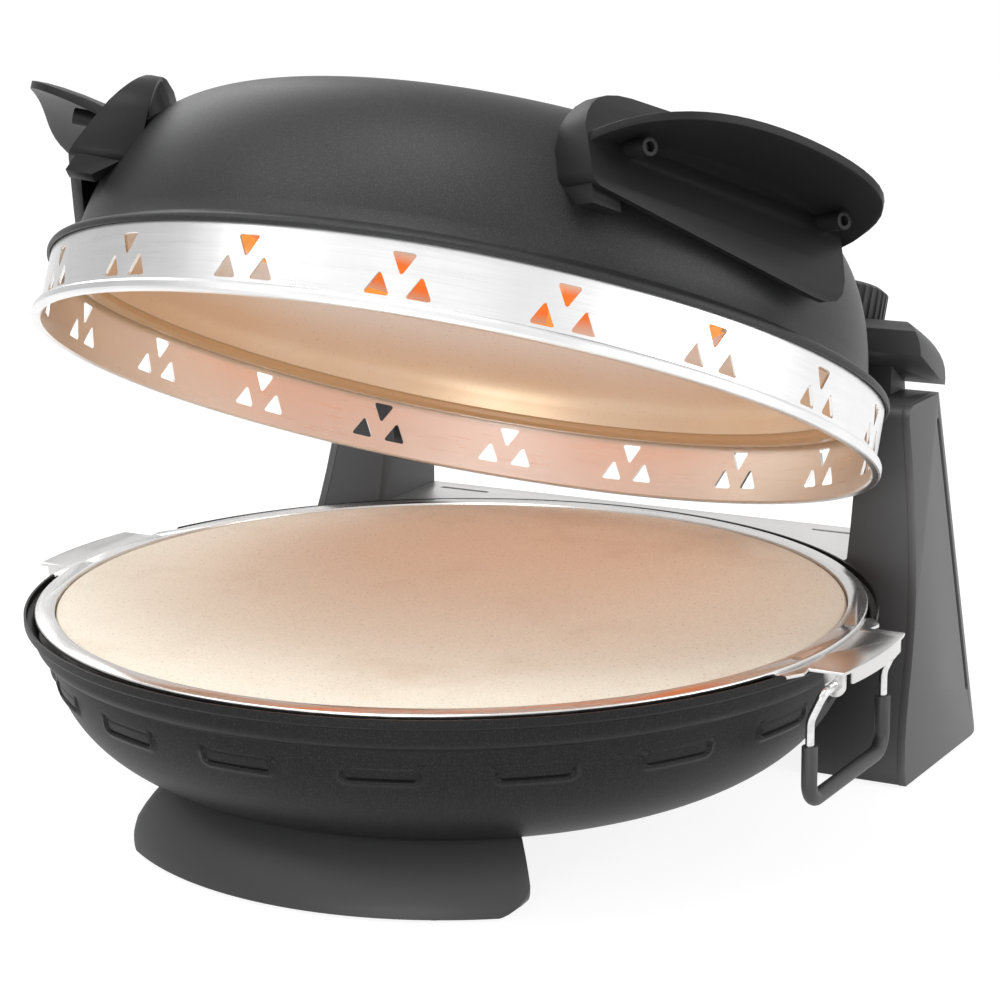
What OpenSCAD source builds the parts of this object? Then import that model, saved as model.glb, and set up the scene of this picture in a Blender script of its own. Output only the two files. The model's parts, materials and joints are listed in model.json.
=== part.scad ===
// Electric pizza maker: a round steel base that holds a stone plate in a lift-out tray,
// and a domed lid that tilts back between two rear towers.
// Millimetres. The front faces -Y, +Z is up and the ground is z = 0.
// Base parts are drawn about the base's own axis, and lid parts about the lid's axis
// with z = 0 at the lid's lower edge. on_base() and on_lid() put both in place.

/* [Base] */
// Outer radius of the lip round the base
lip_r = 178; // [177:0.5:179]
// Height of the top of the lip
lip_top = 91.8; // [91.6:0.1:92]
// Radius of the body where it leaves the shoulder under the lip
body_r = 167.3; // [165:0.5:168]
// Height of the base's underside
belly_z = 17; // [15:0.5:19]
// Number of vents embossed round the body
vent_count = 18; // [12:1:20]
// Length of one vent
vent_w = 32; // [24:1:36]
// Outer radius of the front foot at the ground
foot_r = 142.5; // [138:0.5:146]
// Angle that the front foot spans
foot_span = 83; // [60:1:86]

/* [Towers] */
// Height of the towers
tower_h = 156.6; // [150:0.2:157]
// Distance from the middle to a tower's inner face
tower_inner_x = 120; // [119:0.5:121]
// Distance from the middle to a tower's outer face at the ground
tower_foot_x = 165; // [160:0.5:170]
// The same at the top
tower_top_x = 143.5; // [141:0.5:146]
// Rear face of the towers
tower_rear_y = 200; // [198:0.5:203]

/* [Lid] */
// How far the lid is tilted open
lid_open = 23.8; // [0:0.1:33]
// Distance of the hinge behind the base's axis
hinge_y = 187.5; // [187:0.1:188]
// Height of the hinge
hinge_z = 122.5; // [122:0.1:123]
// Height of the lid's lower edge when it is closed
lid_seat_z = 93.2; // [93:0.1:94]
// Height of the dome above the lid's lower edge
dome_h = 105.2; // [100:0.2:110]
// Radius of the dome at its foot
dome_r = 167.1; // [166:0.1:168]
// Height of the lid's steel band
band_h = 26.8; // [26:0.1:28]
// Outer radius of the band
band_r = 175.1; // [174.5:0.1:175.5]
// Number of groups of triangles cut in the band
cut_groups = 18; // [12:1:20]

/* [Handles] */
// Angle of a lid handle round from the front
handle_angle = 62.2; // [58:0.2:66]
// Half of a handle's length
handle_half = 66.1; // [62:0.1:68]
// How far a handle's wing stands out
wing_reach = 41.8; // [36:0.2:44]

/* [Tray] */
// Outer radius of the tray's rim
tray_r = 173.5; // [173:0.1:174]
// Radius of the stone plate
stone_r = 164.8; // [160:0.1:165]
// Outer radius of the side brackets
bracket_r = 192.5; // [190:0.5:194]
// Half of the distance between a bail's legs
bail_half = 38; // [37:0.5:39]

/* [Control] */
// Radius of the knob
knob_r = 18; // [15:0.5:20]
// Height of the knob
knob_h = 16; // [12:0.5:18]

/* [Hidden] */
$fn = 96;

// The model's own origin lies under the middle of its outline
mid_y = (tower_rear_y - lip_r) / 2;

// Base: the shoulder stands out between the body and the lip
sheet_t = 1.0;
shoulder_r = 174;
shelf_z = 87.7;
body_top_z = 77;
rim_seam_z = body_top_z + 0.2;
body_depth = body_top_z - belly_z;
vent_z = 67;

// Tray, stone and liner, from the top down
rim_top = 92.6;
rim_bottom = 91.0;
tray_wall_r = 165.3;
ledge_z = 82.4;
ledge_r = 156;
bracket_t = 1.2;
bracket_z = rim_bottom - bracket_t;
liner_t = 0.8;
liner_step_z = ledge_z - liner_t - 0.3;
liner_floor_z = 45;
stone_z = ledge_z + 0.3;
stone_top = 92;

// Hinge line: the arm, the washer and the tower's cheek follow one another outwards
pin_r = 4;
pin_fit = 0.05;
cheek_x = 126;
washer_t = 0.7;
arm_out_x = cheek_x - washer_t - 0.1;
arm_in_x = 113.2;
boss_r = 12;
recess_front_y = 158;
tower_lean = atan((tower_foot_x - tower_top_x) / tower_h);
cover_t = 3.5;
pad_h = 1.2;

// The lid's own height of the hinge
hinge_lz = hinge_z - lid_seat_z;

// Heating elements
heater_r = 3.25;
heater_z = 62;
heater_lead_x = 16;
heater_lead_y = 186;
outer_loop_r = 112;
inner_loop_r = 72;
link_angle = 125;
upper_loop_r = 105;
upper_loop_y = sqrt(upper_loop_r * upper_loop_r - heater_lead_x * heater_lead_x);
upper_heater_z = 58;

// Front foot and pads
foot_top_z = 30;
foot_top_r = 118;
pad_r = 4.5;
tower_pads = [[143, 120], [142, 174]];

// Tower cover
corner_r = 12;
groove_r = 1.6;

// Rear deck and housing
deck_top = 88.5;
deck_t = 1.2;
deck_rear_y = 197;
housing_front_y = 148;
housing_bottom_z = 14;
housing_half = 70;
cord_x = 44;
cord_z = 36;
cord_neck_r = 7;

// Lid shell
crown_z = 25;
dome_rise = dome_h - crown_z;
dome_lip_r = 177;
band_t = 1.2;
reflector_foot = 29.8;
reflector_rise = 46;

// Handles: the root is where the wing leaves the plate
root_n = 152.6;
root_end_z = 77.5;
root_arch = 10.9;
plate_bend_r = 251.35;
plate_centre = [-64.3, -41];
wing_mid = -1.9;
screw_y = [-49.5, 46.5];
screw_z = 79.5;
screw_r = 2;
boss_end = 171.5;

// Bail
wire_r = 1.75;
grip_r = 3.15;
bail_x = 184;
bail_z = 84;
bail_low_x = 178.5;
bail_knee_z = 72;
bail_low_z = 39;
grip_top_z = 62;
bail_stub_y = 22;
bail_top_r = 4;
bail_knee_r = 10;
bail_corner_r = 8;

// Knob
knob_x = 103;
knob_y = 150;
knob_ribs = 30;
shaft_r = 3;
thermostat_r = 9.8;
bridge_top = 84.2;

charcoal = [0.17, 0.17, 0.18];
black = [0.10, 0.10, 0.11];
steel = [0.80, 0.80, 0.81];
dark_steel = [0.35, 0.34, 0.33];
cream = [0.90, 0.86, 0.78];
gold = [0.72, 0.55, 0.36];
rubber = [0.13, 0.13, 0.13];

// Placing

module on_base() translate([0, -mid_y, 0]) children();

module on_lid()
    translate([0, hinge_y - mid_y, hinge_z])
        rotate([-lid_open, 0, 0])
            translate([0, -hinge_y, -hinge_lz])
                children();

// Turns a handle's own frame, X outwards and Y along it, to its place round the lid
module at_handle() rotate([0, 0, handle_angle - 90]) children();

// Draws a right-hand piece, or its mirror image with side = -1
module on_side(side) {
    if (side > 0) children();
    else mirror([1, 0, 0]) children();
}

// Draws a piece that is its own mirror image front to rear at the right, or at the left
module turned(side) rotate([0, 0, side > 0 ? 0 : 180]) children();

// Extrudes a (y, z) outline along X from x0 to x1
module along_x(x0, x1) translate([x0, 0, 0]) rotate([90, 0, 90]) linear_extrude(x1 - x0) children();

// Extrudes an (x, z) outline along Y from y0 to y1
module along_y(y0, y1) translate([0, y1, 0]) rotate([90, 0, 0]) linear_extrude(y1 - y0) children();

// Curves and sheets

function bezier2(a, b, c, n) = [for (i = [0:n]) let (t = i / n)
    (1 - t) * (1 - t) * a + 2 * (1 - t) * t * b + t * t * c];

function bezier3(a, b, c, d, n) = [for (i = [0:n]) let (t = i / n)
    pow(1 - t, 3) * a + 3 * pow(1 - t, 2) * t * b + 3 * (1 - t) * t * t * c + pow(t, 3) * d];

// Points of an arc about c from angle a0 to a1
function arc(c, r, a0, a1, n) = [for (i = [0:n]) let (a = a0 + (a1 - a0) * i / n)
    c + r * [cos(a), sin(a)]];

function right_of(a, b) = let (d = (b - a) / norm(b - a)) [d[1], -d[0]];

// A path moved by t to its right-hand side, mitred at its corners
function beside(p, t) = [for (i = [0:len(p) - 1]) let (
    last = len(p) - 1,
    n0 = right_of(p[max(i - 1, 0)], p[max(i, 1)]),
    n1 = right_of(p[min(i, last - 1)], p[min(i + 1, last)]),
    q = p[i] + t * (n0 + n1) / (1 + n0 * n1))
    [max(q[0], 0), q[1]]];

function reversed(p) = [for (i = [len(p) - 1:-1:0]) p[i]];

// A sheet of thickness t whose outside is the path and whose inside lies to its right
module sheet(path, t) polygon(concat(path, reversed(beside(path, t))));

// The space inside a path, closed to the axis
module inside(path) polygon(concat(path, [[0, path[len(path) - 1][1]], [0, path[0][1]]]));

// A straight or bent round rod. It starts at the origin, heads along +X and follows its steps:
// ["go", length], ["turn", radius, angle] to the left and ["roll", angle] about its heading.
module rod(r, steps, i = 0) {
    if (i < len(steps)) {
        s = steps[i];
        if (s[0] == "go") {
            rotate([0, 90, 0]) cylinder(r = r, h = s[1]);
            translate([s[1], 0, 0]) rod(r, steps, i + 1);
        }
        if (s[0] == "roll") rotate([s[1], 0, 0]) rod(r, steps, i + 1);
        if (s[0] == "turn") {
            side = sign(s[2]);
            bend = abs(s[2]);
            translate([0, side * s[1], 0])
                rotate([0, 0, side > 0 ? -90 : 90 - bend])
                    rotate_extrude(angle = bend) translate([s[1], 0]) circle(r = r);
            translate([s[1] * sin(bend), side * s[1] * (1 - cos(bend)), 0])
                rotate([0, 0, s[2]]) rod(r, steps, i + 1);
        }
    }
}

// Base body

// Outside of the body below its shoulder, from the top down
body_curve = [for (t = [0:4:84])
    [body_r * sqrt(cos(t)), body_top_z - body_depth * sin(t)]];

bowl_path = concat(
    [[lip_r, lip_top], [lip_r, shelf_z + 0.9], [lip_r - 0.9, shelf_z], [shoulder_r, shelf_z],
     [shoulder_r, body_top_z + 4.5], [shoulder_r - 2, body_top_z + 1.6], [body_r + 1.2, body_top_z + 0.5]],
    body_curve, [[0, belly_z]]);

module bowl_space() rotate_extrude() inside(bowl_path);

// The belt that the vents stand out to, grown by a gap
module vent_belt(gap = 0) rotate_extrude() polygon([[140, vent_z - 12 - gap],
    [body_r + 1.3 + gap, vent_z - 12 - gap], [body_r + 1.3 + gap, vent_z + 8 + gap],
    [140, vent_z + 8 + gap]]);

// One vent is a raised ridge pressed out of the body, round the sides and the foot of a slot
module vent() intersection() {
    half = vent_w / 2;
    vent_belt();
    along_y(-175, -150) translate([0, vent_z]) polygon(concat(
        arc([3.4 - half, 0], 3.4, 170, 270, 6), arc([half - 3.4, 0], 3.4, 270, 370, 6),
        [[half - 0.6, 2.6], [half - 2, 2.6]],
        arc([half - 3.8, 0.6], 1.8, 360, 270, 4), arc([3.8 - half, 0.6], 1.8, 270, 180, 4),
        [[2 - half, 2.6], [0.6 - half, 2.6]]));
}

// The body below the seam of its rim, with its vents
module base_bowl() color(charcoal) difference() {
    union() {
        rotate_extrude() sheet(bowl_path, sheet_t);
        for (i = [0:vent_count - 1]) rotate([0, 0, i * 360 / vent_count]) difference() {
            vent();
            bowl_inner();
        }
    }
    translate([0, 0, rim_seam_z]) cylinder(r = lip_r + 2, h = lip_top);
    heater_lead_holes(130, 190);
}

// The rim carries the shoulder and the lip, and is seamed to the body all round
module base_rim() color(charcoal) difference() {
    notch_half = bail_half + 8.5;
    rotate_extrude() sheet(bowl_path, sheet_t);
    translate([0, 0, rim_seam_z - lip_top]) cylinder(r = lip_r + 2, h = lip_top);
    for (side = [-1, 1]) translate([side > 0 ? 160 : -190, -notch_half, bracket_z - 0.2])
        cube([30, 2 * notch_half, 10]);
}

module bowl_inner() rotate_extrude() inside(beside(bowl_path, sheet_t / 2));

// The liner is a deep pan whose flange rests on the shoulder inside the rim
liner_path = [[shoulder_r - 1.9, liner_step_z - liner_t], [153, liner_step_z - liner_t],
    [141, liner_floor_z + 6], [136, liner_floor_z], [0, liner_floor_z]];

module base_liner() color(dark_steel) difference() {
    rotate_extrude() sheet(liner_path, liner_t);
    heater_lead_holes(120, 160);
}

// A heating element is one tube. Its corners swell slightly where it was bent.
module element_loop(r, from, to) rotate([0, 0, from]) rotate_extrude(angle = to - from)
    translate([r, 0]) circle(r = heater_r);
module element_corner() sphere(r = heater_r + 0.3);

// Lower element: an outer and an inner loop with a link between them, both ends to the rear
module lower_heater() color(dark_steel) translate([0, 0, heater_z]) {
    outer_y = sqrt(pow(outer_loop_r, 2) - pow(heater_lead_x, 2));
    inner_y = sqrt(pow(inner_loop_r, 2) - pow(heater_lead_x, 2));
    element_loop(outer_loop_r, link_angle, 450 - asin(heater_lead_x / outer_loop_r));
    element_loop(inner_loop_r, link_angle, 450 + asin(heater_lead_x / inner_loop_r));
    rotate([0, 0, link_angle]) {
        translate([inner_loop_r, 0, 0]) rotate([0, 90, 0])
            cylinder(r = heater_r, h = outer_loop_r - inner_loop_r);
        for (r = [inner_loop_r, outer_loop_r]) translate([r, 0, 0]) element_corner();
    }
    for (end = [[heater_lead_x, outer_y], [-heater_lead_x, inner_y]])
        translate([end[0], end[1], 0]) {
            element_corner();
            rotate([-90, 0, 0]) cylinder(r = heater_r, h = heater_lead_y - end[1]);
        }
}

module lower_heater_clips() color(steel)
    for (a = [180, 270, 0]) rotate([0, 0, a]) {
        floor_top = liner_floor_z + liner_t;
        translate([inner_loop_r - 8, -5, floor_top])
            cube([outer_loop_r - inner_loop_r + 16, 10, 1]);
        for (r = [inner_loop_r, outer_loop_r]) difference() {
            translate([r - 1, -5, floor_top]) cube([2, 10, heater_z - floor_top]);
            translate([0, 0, heater_z]) rotate_extrude() translate([r, 0]) circle(r = heater_r);
        }
    }

// Outside of the foot from the ground up
foot_curve = bezier2([foot_r, pad_h], [foot_r - 5, 17], [foot_top_r + 2, foot_top_z], 6);

// Front foot: a curved skirt that leans in from the ground to the body's underside,
// stiffened by ribs and with a boss over each pad
module front_foot() color(black) difference() {
    half = foot_span / 2;
    intersection() {
        union() {
            rotate_extrude() polygon(concat(foot_curve,
                [[foot_top_r - 30, foot_top_z], [foot_top_r - 30, 15.5], [foot_top_r - 10, 17.5],
                [foot_r - 13.5, 14], [foot_r - 4, pad_h]]));
            foot_stiffening();
        }
        linear_extrude(60) polygon([[0, 0], 200 * [-sin(half), -cos(half)], 200 * [sin(half), -cos(half)]]);
        along_y(-160, -20) foot_front((foot_r - 5) * sin(half), 10);
    }
    bowl_space();
    front_pads();
}
module foot_stiffening() intersection() {
    union() {
        for (a = [-30, -10, 10, 30]) rotate([0, 0, a]) translate([-1.5, -foot_r, pad_h + 4])
            cube([3, 40, foot_top_z]);
        front_pad_places() translate([0, 0, pad_h + 0.3]) cylinder(r = pad_r + 2, h = foot_top_z);
    }
    // Ends inside the skirt's wall
    rotate_extrude() polygon([[foot_top_r - 28, 0], [foot_r - 1.5, 0], [foot_r - 10.5, 17],
        [foot_top_r, foot_top_z - 2], [foot_top_r - 28, foot_top_z - 2]]);
}
// The foot seen from the front, with round lower corners
module foot_front(w, r) polygon(concat(
    arc([-w + r, pad_h - 0.5 + r], r, 180, 270, 8), arc([w - r, pad_h - 0.5 + r], r, 270, 360, 8),
    [[w, 40], [-w, 40]]));

module pad_at(x, y) translate([x, y, 0]) cylinder(r = pad_r, h = pad_h + 1);
module front_pad_places() for (side = [-1, 1]) rotate([0, 0, side * 26])
    translate([0, pad_r + 3 - foot_r, 0]) children();
module front_pads() front_pad_places() pad_at(0, 0);
module foot_pads() color(rubber) {
    front_pads();
    for (side = [-1, 1]) for (p = tower_pads) pad_at(side * p[0], p[1]);
}

// Towers

tower_front = bezier3([103.4, pad_h], [108.6, 43.4], [145.2, 48.6], [152.2, tower_h - 7], 16);

// Side outline of a tower, with its upper corners and its lower rear corner round
module tower_side() polygon(concat(tower_front,
    arc([159.2, tower_h - 7], 7, 162, 90, 4),
    arc([tower_rear_y - 8, tower_h - 8], 8, 90, 0, 5),
    arc([tower_rear_y - 15, pad_h + 15], 15, 0, -90, 6)));

// Plan of a tower in its leaning frame, with x = 0 at the outer face
module tower_plan(inset) {
    polygon(concat([[-60, 90], [-inset, 90]],
        arc([-corner_r, tower_rear_y - corner_r], corner_r - inset, 0, 90, 8),
        [[-60, tower_rear_y - inset]]));
}

module leaning(inset = 0) translate([tower_foot_x, 0, 0]) rotate([0, -tower_lean, 0])
    translate([0, 0, -30]) linear_extrude(tower_h + 60) tower_plan(inset);

module tower_body(inset = 0) intersection() {
    leaning(inset);
    along_x(tower_inner_x, tower_foot_x + 20) tower_side();
}

module tower(side) color(black) on_side(side) difference() {
    tower_body(cover_t);
    // Open recess for the lid's arm
    translate([tower_inner_x - 1, recess_front_y, hinge_z - boss_r - 3])
        cube([cheek_x - tower_inner_x + 1, 60, 80]);
    translate([cheek_x - 1, hinge_y, hinge_z]) rotate([0, 90, 0]) cylinder(r = pin_r, h = 13);
    for (p = tower_pads) pad_at(p[0], p[1]);
}
module tower_right() tower(1);
module tower_left() tower(-1);

// The cover wraps the outer face and the rear corner, with a long shallow groove down it
module tower_cover(side) color(charcoal) on_side(side) difference() {
    tower_body(0);
    leaning(cover_t);
    translate([tower_inner_x - 1, 0, 0]) cube([cheek_x + 6 - tower_inner_x, 240, 200]);
    translate([tower_foot_x, 0, 0]) rotate([0, -tower_lean, 0]) translate([0, 186, 24])
        along_x(-1.5, 10) {
            translate([-groove_r, 0]) square([2 * groove_r, 122]);
            circle(groove_r);
            translate([0, 122]) circle(groove_r);
        }
}
module tower_cover_right() tower_cover(1);
module tower_cover_left() tower_cover(-1);

// Rear housing between the towers, with the deck on top

module rear_deck() color(steel) difference() {
    translate([-tower_inner_x, 60, deck_top - deck_t])
        cube([2 * tower_inner_x, deck_rear_y - 60, deck_t]);
    cylinder(r = lip_r + 0.4, h = 120);
    for (side = [-1, 1]) on_side(side) translate([85, 185.5, deck_top - 5]) cube([26, 3, 10]);
}

module cover_screw_holes(h) for (x = [-1, 1]) for (z = [23.5, 76.5])
    translate([x * (housing_half - 3), 184, z]) rotate([-90, 0, 0]) cylinder(r = 1.5, h = h);

module heater_lead_holes(y0, y1) for (side = [-1, 1])
    translate([side * heater_lead_x, y0, heater_z]) rotate([-90, 0, 0])
        cylinder(r = heater_r + 1, h = y1 - y0);

module rear_housing() color(black) difference() {
    along_x(-tower_inner_x, tower_inner_x) polygon(concat(
        [[housing_front_y, deck_top - deck_t], [housing_front_y, housing_bottom_z]],
        arc([deck_rear_y - 6, housing_bottom_z + 6], 6, 270, 360, 5),
        [[deck_rear_y, deck_top - deck_t]]));
    bowl_space();
    vent_belt(0.4);
    // Wiring space, closed by the rear cover
    translate([-housing_half + 8, 178, 26]) cube([2 * housing_half - 16, 30, 48]);
    translate([-housing_half, deck_rear_y - 2, 20]) cube([2 * housing_half, 10, 60]);
    heater_lead_holes(140, 185);
    cover_screw_holes(20);
}

module rear_housing_cover() color(black) difference() {
    translate([-housing_half + 0.2, deck_rear_y - 2, 20.2]) cube([2 * housing_half - 0.4, 2, 59.6]);
    translate([cord_x, 180, cord_z]) rotate([-90, 0, 0]) cylinder(r = cord_neck_r, h = 30);
    cover_screw_holes(30);
    for (i = [-3:3]) translate([i * 9 - 2, 180, 48]) cube([4, 30, 22]);
}

// The block takes the ends of the lower element
module terminal_block() color(cream) difference() {
    translate([-26, 178, 53]) cube([52, 14, 20]);
    for (x = [-heater_lead_x, heater_lead_x])
        translate([x, 170, heater_z]) rotate([-90, 0, 0])
            cylinder(r = heater_r, h = heater_lead_y - 170);
}

// Grommet for the mains cord
module cord_inlet() color(rubber) translate([cord_x, deck_rear_y - 4, cord_z]) rotate([-90, 0, 0])
    rotate_extrude() polygon([[4, 0], [9, 0], [9, 2], [cord_neck_r, 2], [cord_neck_r, 4],
        [9.5, 4], [8.5, 6.6], [4.6, 6.6], [4, 6]]);

module housing_screws() color(dark_steel) for (x = [-1, 1]) for (z = [23.5, 76.5])
    translate([x * (housing_half - 3), 184, z]) rotate([-90, 0, 0])
        rotate_extrude() polygon([[0, 0], [1.5, 0], [1.5, 13], [3, 13], [2.4, 14.4], [0, 14.8]]);

// Hinge

module hinge_pins() color(steel) for (side = [-1, 1]) on_side(side)
    translate([arm_in_x - 2.3, hinge_y, hinge_z]) rotate([0, 90, 0]) {
        cylinder(r = pin_r, h = cheek_x + 12 - arm_in_x + 2.3);
        cylinder(r = 6.5, h = 2);
    }

module hinge_washers() color(steel) for (side = [-1, 1]) on_side(side)
    translate([cheek_x - washer_t, hinge_y, hinge_z]) rotate([0, 90, 0]) difference() {
        cylinder(r = 9, h = washer_t);
        translate([0, 0, -1]) cylinder(r = pin_r, h = 3);
    }

// Lid shell

// Outside of the dome above its foot, from the crown down to the painted lip
function dome_point(t) = [dome_r * pow(cos(t), 0.25), crown_z + dome_rise * pow(sin(t), 1.111)];
dome_path = concat([[0, dome_h]], [for (t = [87:-3:12]) dome_point(t)],
    [[dome_r + 0.6, 33.8], [dome_r + 1.6, 32.9], [dome_r + 3.4, 32.9],
     [dome_lip_r - 2.4, 31.6], [dome_lip_r - 0.5, 30.2], [dome_lip_r, 28.6],
     [dome_lip_r - 0.3, band_h + 0.4]]);
module dome_space() rotate_extrude() polygon(concat(dome_path, [[0, band_h + 0.4]]));

module lid_dome() color(charcoal) rotate_extrude() sheet(dome_path, 1.2);

// Steel band with a bead at its lower edge and groups of three triangles
module lid_band() color(steel) difference() {
    inner = band_r - band_t;
    bead = band_r + 2.9;
    rotate_extrude() polygon([
        [inner, 0.8], [inner + 0.8, 0], [bead - 1, 0], [bead - 0.3, 0.4], [bead, 1.2],
        [bead, 3.4], [bead - 0.5, 4.3], [band_r + 0.5, 4.6], [band_r, 5.2],
        [band_r, reflector_foot - 0.8], [inner, reflector_foot - 0.8]]);
    for (i = [0:cut_groups - 1]) rotate([0, 0, i * 360 / cut_groups]) triangle_group();
}

// A triangle with round corners of radius r. Its corners are given counterclockwise.
function round_corner(a, b, c, r) = let (
    u = (a - b) / norm(a - b), v = (c - b) / norm(c - b), half = acos(u * v) / 2,
    m = b + (u + v) / norm(u + v) * r / sin(half),
    out = atan2(-(u + v)[1], -(u + v)[0]), swing = 90 - half)
    arc(m, r, out - swing, out + swing, 2);
module round_triangle(p, r) polygon([for (i = [0:2])
    each round_corner(p[i], p[(i + 1) % 3], p[(i + 2) % 3], r)]);

module triangle_group() {
    along_y(-190, -160) round_triangle([[0, 14.1], [4.9, 23.2], [-4.9, 23.2]], 0.8);
    for (side = [-1, 1]) rotate([0, 0, side * asin(7.85 / band_r)])
        along_y(-190, -160) round_triangle([[-5.1, 6.4], [5.1, 6.4], [0, 15.7]], 0.8);
}

// Inner dome of the lid
reflector_path = concat([[0, reflector_foot + reflector_rise]],
    [for (t = [84:-6:0]) [164 * pow(cos(t), 0.5), reflector_foot + reflector_rise * sin(t)]],
    [[band_r, reflector_foot]]);
module lid_reflector() color(cream) difference() {
    rotate_extrude() sheet(reflector_path, 0.8);
    for (side = [-1, 1]) translate([side * heater_lead_x, upper_loop_y, 40])
        cylinder(r = heater_r + 1, h = 60);
}

module lid_trim_ring() color(gold) rotate_extrude() {
    outer = band_r - band_t;
    polygon([[165, reflector_foot - 0.8], [165.6, 26.6], [167.6, 25], [171, 25],
        [outer, 26.8], [outer, reflector_foot - 0.8]]);
}

// Upper heating element: a loop under the inner dome whose ends turn up through it
module upper_heater() color(dark_steel) translate([0, 0, upper_heater_z]) {
    gap = asin(heater_lead_x / upper_loop_r);
    element_loop(upper_loop_r, 90 + gap, 450 - gap);
    for (side = [-1, 1]) translate([side * heater_lead_x, upper_loop_y, 0]) {
        element_corner();
        cylinder(r = heater_r, h = 26);
    }
}

// Wire hangers from the inner dome to the loop
module upper_heater_clips() color(steel) for (a = [150, 270, 30]) rotate([0, 0, a])
    difference() {
        translate([upper_loop_r - 1, -4, upper_heater_z - heater_r - 1])
            cube([2, 8, 16 + heater_r]);
        translate([0, 0, upper_heater_z]) rotate_extrude()
            translate([upper_loop_r, 0]) circle(r = heater_r);
        reflector_over();
    }
module reflector_over() rotate_extrude() polygon(concat(
    beside(reflector_path, 0.8), [[200, reflector_foot], [200, 140], [0, 140]]));

// Rear of the lid: a bridge behind the dome with an arm at each end

bridge_back = bezier2([141, bridge_top], [163, bridge_top], [176, 72.8], 8);

module lid_bridge() color(black) difference() {
    along_x(-arm_in_x, arm_in_x) polygon(concat(
        [[128, 58], [128, bridge_top - 3], [131, bridge_top]], bridge_back, [[173, 58]]));
    dome_space();
    translate([knob_x, knob_y, 56]) cylinder(r = thermostat_r + 0.2, h = bridge_top - 4 - 56);
    translate([knob_x, knob_y, 56]) cylinder(r = shaft_r + 0.08, h = 40);
}

// One arm: a hood that covers the tower's top, and a plate down to the hinge pin
module hinge_arm(side) color(black) on_side(side) difference() {
    union() {
        intersection() {
            along_x(arm_in_x, 144.5) polygon(concat(
                [[143.5, 70.5], [136.3, 79.6], [137, 82], [139, bridge_top]], bridge_back,
                [[178.6, 69.2], [179.5, 66.3]]));
            along_y(100, 200) polygon(concat(
                [[arm_in_x, 40], [144.5, 40]],
                arc([144.5 - 12, bridge_top + 1 - 12], 12, 0, 90, 8),
                [[arm_in_x, bridge_top + 1]]));
        }
        along_x(arm_in_x, arm_out_x) polygon([
            [hinge_y - boss_r, hinge_lz], [hinge_y - boss_r, hinge_lz + 4],
            [161.5, 66], [161.5, 72], [178, 69], [hinge_y + 3, 52],
            [hinge_y + boss_r, hinge_lz + 4], [hinge_y + boss_r, hinge_lz]]);
        translate([arm_in_x, hinge_y, hinge_lz]) rotate([0, 90, 0])
            cylinder(r = boss_r, h = arm_out_x - arm_in_x);
    }
    translate([arm_in_x - 1, hinge_y, hinge_lz]) rotate([0, 90, 0])
        cylinder(r = pin_r + pin_fit, h = 20);
    dome_space();
}
module hinge_arm_right() hinge_arm(1);
module hinge_arm_left() hinge_arm(-1);

// Lid handles. In a handle's frame X points outwards and Y runs along it.

function root_z(a) = root_end_z + root_arch * (1 - a * a);
function reach(a) = wing_reach * sqrt(1 - pow(abs(a), 4.9));

// Section of the wing at a, a share of the half length: out along the top and back underneath
function wing_section(a, k) = let (n0 = -4, span = reach(a) - n0)
    [for (i = [0:2 * k + 1]) let (
        top = i <= k,
        u = sin(90 * (top ? i : 2 * k + 1 - i) / k),
        d = n0 + span * u,
        thick = 2.1 - 0.6 * pow(u, 12),
        z = root_z(a) + 0.3 * d - 0.1 * d * d / 30 + (top ? thick : -thick))
        [root_n + d, wing_mid + a * handle_half, z]];

// Joins rings of points into one closed solid
module loft(rings) {
    m = len(rings[0]);
    last = len(rings) - 1;
    points = [for (ring = rings) for (p = ring) p];
    sides = [for (j = [0:last - 1]) for (i = [0:m - 1]) let (n = (i + 1) % m)
        [j * m + i, (j + 1) * m + i, (j + 1) * m + n, j * m + n]];
    triangles = [for (q = sides) for (half = [[q[0], q[1], q[2]], [q[0], q[2], q[3]]]) half];
    polyhedron(points, concat(triangles,
        [for (i = [1:m - 2]) [0, i, i + 1]],
        [for (i = [1:m - 2]) [last * m, last * m + i + 1, last * m + i]]), convexity = 6);
}

module handle_wing() loft([for (i = [0:28]) wing_section(-sin(90 * (1 - i / 14)) * 0.995, 6)]);

// Fin above the root and shield below it, bent to one large arc that follows the dome
plate_edge = concat(
    arc([-64, 65], 5, 180, 270, 4), bezier2([36, 46.5], [52, 44], [54, 58], 4),
    bezier2([56, 84], [55, 97], [42, 101.5], 4), [[20, 104.2], [-20, 104.6]],
    bezier2([-42, 103.4], [-64, 101.5], [-69, 84], 6));
module plate_arc(r) translate([0, 70, 0]) rotate([90, 0, 0]) linear_extrude(140)
    translate(plate_centre) circle(r = r);
module handle_plate() difference() {
    intersection() {
        plate_arc(plate_bend_r + 2);
        along_x(120, 190) polygon(plate_edge);
    }
    plate_arc(plate_bend_r - 2);
}

// Webs that turn in from the plate's ends towards the dome
module handle_webs() difference() {
    intersection() {
        plate_arc(plate_bend_r - 1);
        along_x(140, 190) polygon(plate_edge);
    }
    along_x(130, 200) translate([-7, 78]) scale(0.95) translate([7, -78]) polygon(plate_edge);
    translate([120, -80, 40]) cube([80, 160, 20]);
}

// End blocks that carry the handle off the dome, with their lower inner edge cut away
module handle_blocks() intersection() {
    for (y = [-67, 42]) along_y(y, y + 13) polygon([[110, 61], [147, 61], [157, 53.5], [172, 53.5],
        [172, 75], [110, 74]]);
    plate_arc(plate_bend_r - 1);
}

// Tubes from the plate to under the wing, where the screws go in
module handle_bosses() for (y = screw_y) translate([153, y, screw_z]) rotate([0, 90, 0])
    cylinder(r = 3.5, h = boss_end - 153);

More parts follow.
